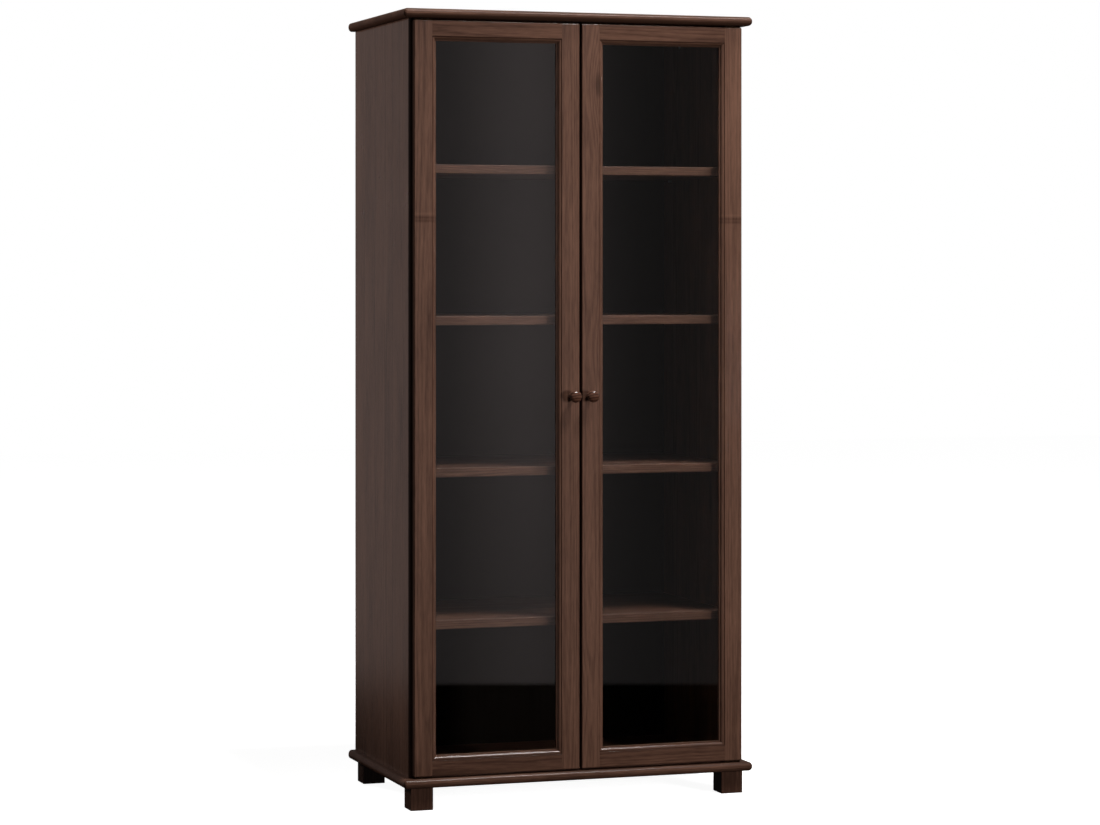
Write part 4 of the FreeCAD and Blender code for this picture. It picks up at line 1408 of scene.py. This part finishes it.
@dataclass
class GlassDoor:
    """A moulded frame round one pane, with its beads and its knob.

    A tone is how much lighter a board is than most. The measures of the painted shade, the gathered stain
    and the painted highlight across a member start where its moulding does, and those deep start at its
    front. The band is a darker belt across the hinge stile: heights above band_height, and how much stain
    lies at each.
    """

    workshop: Workshop
    side: str
    body: Body
    seed: int
    hinge_tone: float = 0.09
    lock_tone: float = 0.07
    top_tone: float = -0.16
    bottom_tone: float = -0.26
    stile_gloss: float = 0.9
    top_gloss: float = 0.3
    bottom_gloss: float = 0.55
    tone_spread: float = 0.03
    knob_tone: float = 0.2
    stile_flat: float = 43.2 * MM
    rail_flat: float = 36 * MM
    bead_radius: float = 1.5 * MM
    bead_arris: float = 0.25 * MM
    # Where the quirk is darkened: painted shade in the groove, with stain gathered there.
    quirk_across: Flat = (-0.5 * MM, 1.9 * MM)
    quirk_deep: Flat = (0.5 * MM, 2.2 * MM)
    # Deeper than glass_deep and further across than glass_across the wood is made paler: a painted
    # highlight for the light line at the glass.
    glass_across: float = 10 * MM
    glass_deep: float = 11 * MM
    glass_painted_highlight: float = -0.9
    # On a stile's outer edge the wood is made darker and duller: painted shade for the gap beside the door.
    edge_painted_shade: tuple[Flat, ...] = ((1 * MM, 1.0), (2 * MM, 0.5))
    band_height: float = 1.347
    band: tuple[Flat, ...] = (
        (-14 * MM, 0.0),
        (-9 * MM, 0.65),
        (-5 * MM, 0.3),
        (-1 * MM, 0.75),
        (3 * MM, 0.1),
        (7 * MM, -0.35),
        (12 * MM, 0.0),
    )

    def node(self, name: str) -> str:
        """The full name of one of the door's CAD nodes."""
        return f"{self.side}_door_{name}"

    def box(self, name: str) -> tuple[Vector, Vector]:
        """The lowest and highest corner of one of the door's CAD nodes."""
        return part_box(self.node(name))

    def finish(self, name: str, shell: Shell, node: str, slot: Slot = Slot.STAINED_PINE) -> None:
        """Finishes one of the door's pieces."""
        self.workshop.finish_shell(name, shell, self.body, slot, [self.node(node)])

    def add_member(self, name: str, tone: float, gloss: float, seed: int) -> None:
        """Makes one stile or rail.

        Args:
            name: The node's name within the door.
            tone: Its board's tone.
            gloss: How glossy its coat is.
            seed: The seed of its board.
        """
        low, high = self.box(name)
        hinge_low, hinge_high = self.box("hinge_stile")
        lock_low, lock_high = self.box("lock_stile")
        left, right = min(hinge_low.x, lock_low.x), max(hinge_high.x, lock_high.x)
        bottom, top = hinge_low.z, hinge_high.z
        is_stile = name.endswith("stile")
        if is_stile:
            is_low = (low.x + high.x) / 2 < (left + right) / 2
            run = Run(True, left if is_low else right, 1 if is_low else -1, low.y, bottom)
            length, flat, other_flat = top - bottom, self.stile_flat, self.rail_flat
        else:
            is_low = (low.z + high.z) / 2 < (bottom + top) / 2
            run = Run(False, low.z if is_low else high.z, 1 if is_low else -1, low.y, left)
            length, flat, other_flat = right - left, self.rail_flat, self.stile_flat
        shell = MouldedMember(run, length, flat, other_flat).shell()
        band = self.band if name == "hinge_stile" else ()
        bands = {round(self.band_height + rise, HEIGHT_DIGITS): stain for rise, stain in band}

        def painted_light_and_stain(place: Vector) -> float:
            """How much darker a place is made: painted shade in the quirk, with stain gathered there, and
            on a stile's outer edge; a painted highlight against the glass; the figured band.

            Args:
                place: The place.

            Returns:
                How much darker it is made, from 0 to 1. Below 0 it is paler, which against the glass is a
                painted highlight.
            """
            across, deep = abs(place[run.axes[1].value] - run.outer), place.y - run.front
            # Painted shade on a stile's outer edge.
            for reach, stain in self.edge_painted_shade if is_stile else ():
                if across < reach:
                    return stain
            # The quirk is made dark and dull: painted shade in the groove, with stain gathered there.
            (near, far), (shallow, floor) = self.quirk_across, self.quirk_deep
            if shallow < deep < floor and flat + near < across < flat + far:
                return 1.0
            # A painted highlight: paler wood against the glass.
            if deep > self.glass_deep and across > flat + self.glass_across:
                return self.glass_painted_highlight
            return bands.get(round(place.z, HEIGHT_DIGITS), 0.0)

        boards = Boards(*run.axes, seed, tone=tone, tone_spread=self.tone_spread, gloss=gloss)
        boards.lay(shell, painted_light_and_stain, list(bands))
        self.finish(f"{self.node(name)}_moulded", shell, name)

    def add_bead(self, name: str, seed: int) -> None:
        """Makes one glazing bead, mitred at both ends and eased on its inner back edge.

        Args:
            name: The node's name within the door.
            seed: The seed of its board.
        """
        low, high = self.box(name)
        pane_low, pane_high = self.box("glass")
        is_upright = high.z - low.z > high.x - low.x
        wide, long = (0, 2) if is_upright else (2, 0)
        is_low = low[wide] < (pane_low[wide] + pane_high[wide]) / 2
        run = Run(is_upright, (low if is_low else high)[wide], 1 if is_low else -1, low.y, low[long])
        size = (high[wide] - low[wide], high.y - low.y)
        section = rounded_outline((0, 0), size, (0, 0, self.bead_radius, 0))
        rings = [
            [run.place(across, deep, base + sign * across) for across, deep in section]
            for base, sign in ((0, 1), (high[long] - low[long], -1))
        ]
        shell = closed_loft(rings)
        soften(shell, self.bead_arris)
        Boards(*run.axes, seed).lay(shell)
        self.finish(f"{self.node(name)}_strip", shell, name)

    def add_knob(self, seed: int) -> None:
        """Makes the knob, its grain pointing at the front.

        Args:
            seed: The seed of its wood.
        """
        low, high = self.box("knob")
        shell = Knob().shell(Vector(((low.x + high.x) / 2, high.y, (low.z + high.z) / 2)))
        Boards(Axis.Y, Axis.X, seed, tone=self.knob_tone).lay(shell)
        self.finish(f"{self.side}_turned_knob", shell, "knob", Slot.LACQUERED_PINE)

    def build(self) -> None:
        """Makes the frame, beads and knob, and dresses what stays from the CAD."""
        members = (
            ("hinge_stile", self.hinge_tone, self.stile_gloss),
            ("lock_stile", self.lock_tone, self.stile_gloss),
            ("top_rail", self.top_tone, self.top_gloss),
            ("bottom_rail", self.bottom_tone, self.bottom_gloss),
        )
        for number, member in enumerate(members, 1):
            self.add_member(*member, self.seed + number)
        for number, name in enumerate(("top_bead", "bottom_bead", "left_bead", "right_bead"), 5):
            self.add_bead(name, self.seed + number)
        self.add_knob(self.seed + 9)
        kept = {"frame_dowels": Slot.BEECH, "hinge_leaves": Slot.BRASS, "strike_plate": Slot.ZINC}
        self.workshop.dress({"glass": Slot.GLASS, **kept}, self.node(""))
        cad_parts[self.node("glass")].visible_shadow = False


# ---------------------------------------------------------------- hardware


class SmallParts:
    """Geometry Nodes trees for the small turned parts that repeat."""

    SIDES = 24
    SCREW_SIZES = {
        "Head Radius": 2.8 * MM,
        "Head Height": 1.4 * MM,
        "Shank Radius": 1.5 * MM,
        "Length": 14 * MM,
        "Slot Width": 0.7 * MM,
        "Slot Depth": 0.9 * MM,
    }
    PIN_SIZES = {"Radius": 2.5 * MM, "Length": 17 * MM, "Ease": 0.4 * MM}
    HEAD_EASE = 0.18
    SLOT_REACH = 1.25
    MERGE_DISTANCE = 1e-6

    def __init__(self, workshop: Workshop) -> None:
        """Builds the trees once.

        Args:
            workshop: What fits the parts.
        """
        self.workshop = workshop
        self.screw_tree = self.make_screw_tree()
        self.pin_tree = self.make_pin_tree()

    def turned(self, graph: Graph, rows: Sequence[tuple]) -> Socket:
        """A turned solid along +Z from its outline.

        Args:
            graph: The tree it is added to.
            rows: The outline as (radius, height), each a socket or a number. It starts and ends at 0.

        Returns:
            The geometry.
        """
        count = float(self.SIDES + 1)
        grid = graph.add("GeometryNodeMeshGrid", {"Vertices X": len(rows), "Vertices Y": self.SIDES + 1})
        index = graph.add("GeometryNodeInputIndex").outputs[0]
        row = graph.math("FLOOR", graph.math("DIVIDE", graph.plus(index, 0.5), count))
        column = graph.math("SUBTRACT", index, graph.times(row, count))
        angle = graph.times(column, 2 * math.pi / self.SIDES)
        switches = []
        for values in zip(*rows):
            switch = graph.add("GeometryNodeIndexSwitch", data_type="FLOAT")
            while len(switch.index_switch_items) < len(rows):
                switch.index_switch_items.new()
            graph.fill(switch, dict(enumerate((row, *values))))
            switches.append(switch.outputs[0])
        radius, height = switches
        x, y = (graph.times(radius, graph.math(name, angle)) for name in ("COSINE", "SINE"))
        place = graph.joined(x, y, height)
        moved = graph.add("GeometryNodeSetPosition", {"Geometry": grid.outputs[0], "Position": place})
        inputs = {"Geometry": moved.outputs[0], "Distance": self.MERGE_DISTANCE}
        return graph.add("GeometryNodeMergeByDistance", inputs).outputs[0]

    def spread_over_points(self, graph: Graph, source: Node, part: Socket) -> Socket:
        """The part set at each point, along that point's drive, and turned by chance about its own axis.

        Args:
            graph: The tree.
            source: Its group input, with Points, Seed and Finish.
            part: The geometry of one part.

        Returns:
            The realised geometry in its finish.
        """
        drive = graph.add("GeometryNodeInputNamedAttribute", {"Name": "drive"}, data_type="FLOAT_VECTOR")
        aim = graph.add("FunctionNodeAlignRotationToVector", {"Vector": drive.outputs[0]}, axis="Z")
        inputs = {2: 0.0, 3: 2 * math.pi, "Seed": source.outputs["Seed"]}
        chance = graph.add("FunctionNodeRandomValue", inputs, data_type="FLOAT")
        spin = graph.add("FunctionNodeAxisAngleToRotation", {"Axis": (0, 0, 1), "Angle": chance.outputs[1]})
        inputs = {"Rotation": aim.outputs[0], "Rotate By": spin.outputs[0]}
        turn = graph.add("FunctionNodeRotateRotation", inputs, rotation_space="LOCAL")
        inputs = {"Points": source.outputs["Points"], "Instance": part, "Rotation": turn.outputs[0]}
        spread = graph.add("GeometryNodeInstanceOnPoints", inputs)
        real = graph.add("GeometryNodeRealizeInstances", {"Geometry": spread.outputs[0]})
        inputs = {"Geometry": real.outputs[0], "Material": source.outputs["Finish"]}
        return graph.add("GeometryNodeSetMaterial", inputs).outputs[0]

    def make_tree(self, name: str, sizes: dict[str, float]) -> tuple[Tree, Graph, Node, Node]:
        """Starts a tree that takes points and named sizes.

        Args:
            name: The tree's name.
            sizes: The default of each named size.

        Returns:
            The tree, its graph, its input node and its output node.
        """
        inputs = {"Points": ("NodeSocketGeometry", None)}
        inputs |= {size: ("NodeSocketFloat", value) for size, value in sizes.items()}
        inputs |= {"Seed": ("NodeSocketInt", 1), "Finish": ("NodeSocketMaterial", None)}
        return new_group(name, "GeometryNodeTree", inputs, {"Parts": "NodeSocketGeometry"})

    def make_screw_tree(self) -> Tree:
        """Builds the tree of screws with a flat head and a cross slot, their heads' tops at the points.

        Returns:
            The tree.
        """
        tree, graph, source, sink = self.make_tree("cross_head_screws", self.SCREW_SIZES)
        head, height, shank, length, width, depth = (source.outputs[name] for name in self.SCREW_SIZES)
        eased = graph.times(height, self.HEAD_EASE)
        rows = [
            (0.0, 0.0),
            (graph.math("SUBTRACT", head, eased), 0.0),
            (head, eased),
            (head, height),
            (shank, height),
            (shank, graph.math("SUBTRACT", length, graph.times(shank, 2.0))),
            (0.0, length),
        ]
        part = self.turned(graph, rows)
        reach, deep = graph.times(head, self.SLOT_REACH), graph.times(depth, 2.0)
        for size in ((reach, width, deep), (width, reach, deep)):
            bar = graph.add("GeometryNodeMeshCube", {"Size": graph.joined(*size)})
            inputs = {"Mesh 1": part, "Mesh 2": bar.outputs[0]}
            part = graph.add("GeometryNodeMeshBoolean", inputs, operation="DIFFERENCE").outputs[0]
        graph.put(sink.inputs[0], self.spread_over_points(graph, source, part))
        return tree

    def make_pin_tree(self) -> Tree:
        """Builds the tree of plain round pins with eased ends, starting at the points.

        Returns:
            The tree.
        """
        tree, graph, source, sink = self.make_tree("plain_pins", self.PIN_SIZES)
        radius, length, ease = (source.outputs[name] for name in self.PIN_SIZES)
        inner, far = graph.math("SUBTRACT", radius, ease), graph.math("SUBTRACT", length, ease)
        rows = [(0.0, 0.0), (inner, 0.0), (radius, ease), (radius, far), (inner, length), (0.0, length)]
        graph.put(sink.inputs[0], self.spread_over_points(graph, source, self.turned(graph, rows)))
        return tree

    def set_out(
        self,
        name: str,
        tree: Tree,
        places: Sequence[tuple[Vector, Vector]],
        node: str,
        body: Body = Body.CABINET,
        sizes: dict[str, float] | None = None,
    ) -> None:
        """Sets one kind of small part out over its places, as one mesh of zinc-plated steel.

        Args:
            name: The piece's name.
            tree: The tree that makes the parts.
            places: For each part, where it starts and which way it points.
            node: The CAD node that they stand for.
            body: What the parts ride on.
            sizes: The tree's sizes that differ from its own.
        """
        mesh = bpy.data.meshes.new(name)
        mesh.from_pydata([place for place, _ in places], [], [])
        drive = mesh.attributes.new("drive", "FLOAT_VECTOR", "POINT")
        drive.data.foreach_set("vector", [value for _, way in places for value in way])
        piece = placed_object(name, mesh)
        modifier = piece.modifiers.new("set_out", "NODES")
        modifier.node_group = tree
        values = {**(sizes or {}), "Finish": self.workshop.materials[Slot.ZINC]}
        for item in tree.interface.items_tree:
            if item.in_out == "INPUT" and item.name in values:
                modifier[item.identifier] = values[item.name]
        settle(piece)
        shade_smooth(piece.data, mend=True)
        self.workshop.fit(piece, body, Slot.ZINC, [node])


@dataclass
class Hardware:
    """The screws, pins, hinges and catches."""

    workshop: Workshop
    pin_rows: Flat = (-0.136, 0.203)
    pin_drop: float = 22.5 * MM
    pin_reach: float = 8 * MM
    back_screw_gaps: int = 7
    back_screw_edge: float = 4 * MM
    back_screw_share: float = 0.6591
    hinge_screws: Flat = (14 * MM, 28 * MM)
    hinge_depth: float = -0.214
    hinge_plate: float = 2 * MM
    pivot_x: float = 0.393
    knob_head_height: float = 2.2 * MM
    knob_shank_radius: float = 2 * MM
    knob_slot: Flat = (1.0 * MM, 1.3 * MM)

    def shelf_pins(self, parts: SmallParts) -> None:
        """Sets out the pins that the shelves lie on, four to a shelf.

        Args:
            parts: The trees of small parts.
        """
        left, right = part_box("left_side_panel")[1].x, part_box("right_side_panel")[0].x
        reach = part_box("shelf_pins")[1].x - right + self.pin_reach
        places = []
        for level in range(1, 5):
            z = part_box(f"shelf_{level}")[1].z - self.pin_drop
            for y in self.pin_rows:
                places.append((Vector((left + self.pin_reach, y, z)), Vector((-1, 0, 0))))
                places.append((Vector((right - self.pin_reach, y, z)), Vector((1, 0, 0))))
        parts.set_out("steel_shelf_pins", parts.pin_tree, places, "shelf_pins", sizes={"Length": reach})

    def back_screws(self, parts: SmallParts) -> None:
        """Sets out the screws round the back, their heads flush with it.

        Args:
            parts: The trees of small parts.
        """
        low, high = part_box("back_panel")
        slab_top, slab_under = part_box("bottom_panel")[1].z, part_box("top_panel")[0].z
        gap = (slab_under - slab_top) / self.back_screw_gaps
        heights = [slab_top + gap * (number + 0.5) for number in range(self.back_screw_gaps)]
        edge = high.x - self.back_screw_edge
        inner = edge * self.back_screw_share
        spots = [(x, z) for z in heights for x in (-edge, edge)]
        spots += [
            (x, z)
            for z in (low.z + self.back_screw_edge, high.z - self.back_screw_edge)
            for x in (-inner, 0, inner)
        ]
        places = [(Vector((x, high.y, z)), FORWARD) for x, z in spots]
        parts.set_out("back_panel_screws", parts.screw_tree, places, "back_screws")

    def hinge_screw_places(self, side: int, height: float, drive: int) -> list[tuple[Vector, Vector]]:
        """The two screws of one hinge plate or leaf.

        Args:
            side: -1 for the left door and 1 for the right one.
            height: The height of their heads.
            drive: 1 where they point up, and -1 where they point down.

        Returns:
            Where each starts and which way it points.
        """
        return [
            (Vector((side * (self.pivot_x - away), self.hinge_depth, height)), Vector((0, 0, drive)))
            for away in self.hinge_screws
        ]

    def door_screws(self, parts: SmallParts, side: int, body: Body) -> None:
        """Sets out the screws of one door's leaves, strike plate and knob.

        Args:
            parts: The trees of small parts.
            side: -1 for the left door and 1 for the right one.
            body: The door.
        """
        name = body.value
        leaves_low, leaves_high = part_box(f"{name}_hinge_leaves")
        strike_low, strike_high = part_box(f"{name}_strike_plate")
        middle = (strike_low + strike_high) / 2
        places = self.hinge_screw_places(side, leaves_low.z, 1)
        places += self.hinge_screw_places(side, leaves_high.z, -1)
        places.append((Vector((middle.x, strike_high.y, middle.z)), FORWARD))
        parts.set_out(f"{name}_small_screws", parts.screw_tree, places, f"{name}_screws", body)
        low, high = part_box(f"{name}_knob_screw")
        head = Vector(((low.x + high.x) / 2, high.y, (low.z + high.z) / 2))
        slot_width, slot_depth = self.knob_slot
        sizes = {
            "Head Radius": (high.x - low.x) / 2,
            "Head Height": self.knob_head_height,
            "Shank Radius": self.knob_shank_radius,
            "Length": high.y - low.y,
            "Slot Width": slot_width,
            "Slot Depth": slot_depth,
        }
        piece = f"{name.removesuffix('_door')}_knob_fixing_screw"
        parts.set_out(piece, parts.screw_tree, [(head, FORWARD)], f"{name}_knob_screw", body, sizes)

    def build(self) -> None:
        """Sets out the small parts and dresses the hinges and catches."""
        parts = SmallParts(self.workshop)
        self.shelf_pins(parts)
        self.back_screws(parts)
        plates_low, plates_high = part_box("left_hinge_plates")
        places = []
        for side in (-1, 1):
            places += self.hinge_screw_places(side, plates_low.z + self.hinge_plate, -1)
            places += self.hinge_screw_places(side, plates_high.z - self.hinge_plate, 1)
        parts.set_out("hinge_screws_in_slabs", parts.screw_tree, places, "hinge_plate_screws")
        for side, body in ((-1, Body.LEFT_DOOR), (1, Body.RIGHT_DOOR)):
            self.door_screws(parts, side, body)
        dress = self.workshop.dress
        dress(dict.fromkeys(("left_hinge_plates", "right_hinge_plates", "hinge_washers"), Slot.BRASS))
        dress({"hinge_pins": Slot.ZINC, "catch_screws": Slot.ZINC})
        dress({"catch_housings": Slot.PLASTIC, "catch_magnets": Slot.MAGNET})


# ---------------------------------------------------------------- studio


@dataclass(frozen=True)
class Lamp:
    """One soft lamp: where it hangs, what it points at, how wide it is and how bright."""

    name: str
    place: Triple
    target: Triple
    width: float
    height: float
    power: float
    in_gloss: bool = False
    cone: float = 0.0
    cone_softness: float = 0.3

    def hang(self) -> None:
        """Adds the lamp: a wide soft one, or a spot where it has a cone."""
        data = bpy.data.lights.new(self.name, "SPOT" if self.cone else "AREA")
        if self.cone:
            data.spot_size, data.spot_blend = self.cone, self.cone_softness
            data.shadow_soft_size = self.width / 2
        else:
            data.shape, data.size, data.size_y = "RECTANGLE", self.width, self.height
        data.energy = self.power
        lamp = placed_object(self.name, data)
        lamp.location = self.place
        aim = Vector(self.target) - Vector(self.place)
        lamp.rotation_euler = aim.to_track_quat("-Z", "Y").to_euler()
        lamp.visible_glossy = self.in_gloss
        lamp.visible_transmission = False


LAMPS = (
    Lamp("front_lamp", (1.7, -3.9, 0.9), (0, -0.2, 0.95), 0.5, 0.5, 74),
    Lamp("overhead_lamp", (1.35, -1.9, 4.8), (0, -0.1, 0.9), 1.3, 0.7, 165, in_gloss=True),
    Lamp("glint_lamp", (-0.1, -0.62, 4.3), (0, -0.3, 0.9), 0.22, 0.22, 45, in_gloss=True),
    Lamp("left_rear_lamp", (-2.05, 4.8, 1.6), (-0.4, 0.0, 1.40), 0.5, 0.5, 1500, cone=math.radians(31)),
)


def seen_by_camera(graph: Graph) -> Socket:
    """Tells what the camera sees from what it doesn't.

    Args:
        graph: The graph that it is worked out in.

    Returns:
        1 where the camera looks straight at a surface or through clear glass, and 0 elsewhere.
    """
    ray = graph.add("ShaderNodeLightPath").outputs
    turns = graph.plus(ray["Diffuse Depth"], ray["Glossy Depth"])
    through_glass = graph.times(ray["Is Transmission Ray"], graph.math("LESS_THAN", turns, 0.5))
    return graph.math("MAXIMUM", ray["Is Camera Ray"], through_glass)


def seen_in_gloss(graph: Graph) -> Socket:
    """Tells reflections from what is seen or lit otherwise.

    Args:
        graph: The graph that it is worked out in.

    Returns:
        1 where a surface is seen as a reflection, in either face of a pane too, and 0 elsewhere.
    """
    ray = graph.add("ShaderNodeLightPath").outputs
    in_pane = graph.times(ray["Is Transmission Ray"], graph.math("GREATER_THAN", ray["Glossy Depth"], 0.5))
    return graph.math("MAXIMUM", ray["Is Glossy Ray"], in_pane)


@dataclass
class Studio:
    """A plain pale floor, soft lamps and the camera.

    A screen of the room is its direction in degrees to the right of the front, how far it is flat and
    how far it fades to each side, in degrees, and how bright it is. The steepness of a line of sight
    is how much it rises for each metre of its length.
    """

    focal_pixels: float = 3202.45
    image_width: float = 1100.0
    image_height: float = 825.0
    horizon: float = 268.85
    yaw: float = math.radians(18.733)
    place: Triple = (-2.4370, -7.1879, 1.2293)
    sensor: float = 36.0
    view_reach: float = 100.0
    floor_half: float = 14.0
    floor_drop: float = 0.5 * MM
    floor_colour: tuple[float, ...] = (0.8, 0.8, 0.8, 1)
    floor_roughness: float = 0.9
    floor_glow: float = 0.94
    screens: tuple[tuple[float, ...], ...] = ((18.35, 0.0, 1.6, 0.19), (14.0, 4.3, 6.8, 0.142))
    screen_tint: Colour = (1.0, 0.85, 0.85)
    room_dim: Colour = (0.086, 0.079, 0.078)
    backdrop: float = 0.04
    backdrop_range: Flat = (0.2, 0.8)
    fade_steepness: Flat = (-0.128, -0.03)
    fade_low: float = 0.5
    floor_steepness: Flat = (-0.1292, -0.1278)
    soft_steepness: Flat = (-0.6, 0.6)
    soft_light: Flat = (0.010, 0.06)

    def camera(self) -> None:
        """Adds a level camera, to the left of the front."""
        data = bpy.data.cameras.new("camera")
        data.sensor_width = self.sensor
        data.lens = self.focal_pixels / self.image_width * self.sensor
        data.shift_y = -(self.image_height / 2 - self.horizon) / self.image_width
        data.clip_end = self.view_reach
        camera = placed_object("camera", data)
        camera.location = self.place
        camera.rotation_euler = (math.pi / 2, 0, -self.yaw)
        bpy.context.scene.camera = camera

    def floor(self) -> None:
        """Adds a plain pale floor that keeps the bookcase's shadow."""
        shell = bmesh.new()
        half, z = self.floor_half, -self.floor_drop
        corners = ((-half, -half), (half, -half), (half, half), (-half, half))
        shell.faces.new([shell.verts.new((*point, z)) for point in corners])
        floor = plain_object("studio_floor", shell)
        material, graph, surface = shader_graph("pale_floor")
        looks = {
            "Base Color": self.floor_colour,
            "Roughness": self.floor_roughness,
            "Specular IOR Level": 0.0,
            "Emission Color": WHITE,
            "Emission Strength": self.floor_glow,
        }
        graph.fill(surface, looks)
        unseen = graph.add("ShaderNodeBsdfTransparent")
        inputs = {0: seen_by_camera(graph), 1: unseen.outputs[0], 2: surface.outputs[0]}
        mix = graph.add("ShaderNodeMixShader", inputs)
        graph.put(graph.tree.nodes["Material Output"].inputs["Surface"], mix.outputs[0])
        floor.data.materials.append(material)
        floor.visible_glossy = False
        floor.visible_diffuse = False

    def room_level(self, graph: Graph, way: Socket) -> Socket:
        """How bright the room is: dim, with soft pale screens to the right of the front.

        Args:
            graph: The world's graph.
            way: The direction looked in.

        Returns:
            The colour.
        """
        level_way = graph.vector("NORMALIZE", graph.vector("MULTIPLY", way, (1, 1, 0)))
        _, back, up = graph.parts(way)
        level = graph.spread(back, *self.backdrop_range, (0.0, self.backdrop))
        for degrees, flat, reach, brightness in self.screens:
            angle = math.radians(degrees)
            inputs = {0: level_way, 1: (math.sin(angle), -math.cos(angle), 0.0)}
            towards = graph.add("ShaderNodeVectorMath", inputs, operation="DOT_PRODUCT").outputs[1]
            away = graph.math("ARCCOSINE", graph.math("MINIMUM", towards, 1.0))
            limits = (math.radians(flat), math.radians(reach))
            level = graph.plus(level, graph.spread(away, *limits, (brightness, 0.0), smooth=True))
        level = graph.times(level, graph.spread(up, *self.fade_steepness, (self.fade_low, 1.0)))
        return graph.vector("ADD", graph.vector("MULTIPLY", self.screen_tint, level), self.room_dim)

    def world(self) -> None:
        """Sets white behind everything, and a dim room for the glass to reflect."""
        world = bpy.data.worlds.new("studio")
        bpy.context.scene.world = world
        world.use_nodes = True
        world.node_tree.nodes.clear()
        graph = Graph(world.node_tree)
        way = graph.add("ShaderNodeTexCoord").outputs["Generated"]
        _, _, up = graph.parts(way)
        above_floor = graph.spread(up, *self.floor_steepness)
        room = graph.vector("MULTIPLY", self.room_level(graph, way), above_floor)
        soft = graph.spread(up, *self.soft_steepness, self.soft_light)
        level = graph.mix(seen_in_gloss(graph), soft, room)
        level = graph.mix(seen_by_camera(graph), level, WHITE)
        light = graph.add("ShaderNodeBackground", {"Color": level, "Strength": 1.0})
        graph.add("ShaderNodeOutputWorld", {"Surface": light.outputs[0]})

    def build(self) -> None:
        """Sets up the camera, the floor, the room and the lamps."""
        self.camera()
        self.floor()
        self.world()
        for lamp in LAMPS:
            lamp.hang()
        log.info("set up the camera, the floor and the lamps")


def main() -> None:
    """Builds the bookcase piece by piece and sets it in the studio."""
    bpy.context.scene.view_settings.view_transform = "Standard"
    workshop = Workshop()
    Studio().build()
    Carcass(workshop).build()
    GlassDoor(workshop, "left", Body.LEFT_DOOR, seed=100, hinge_tone=-0.04, lock_tone=0.0).build()
    GlassDoor(workshop, "right", Body.RIGHT_DOOR, seed=200).build()
    Hardware(workshop).build()


if __name__ == "__main__":
    main()
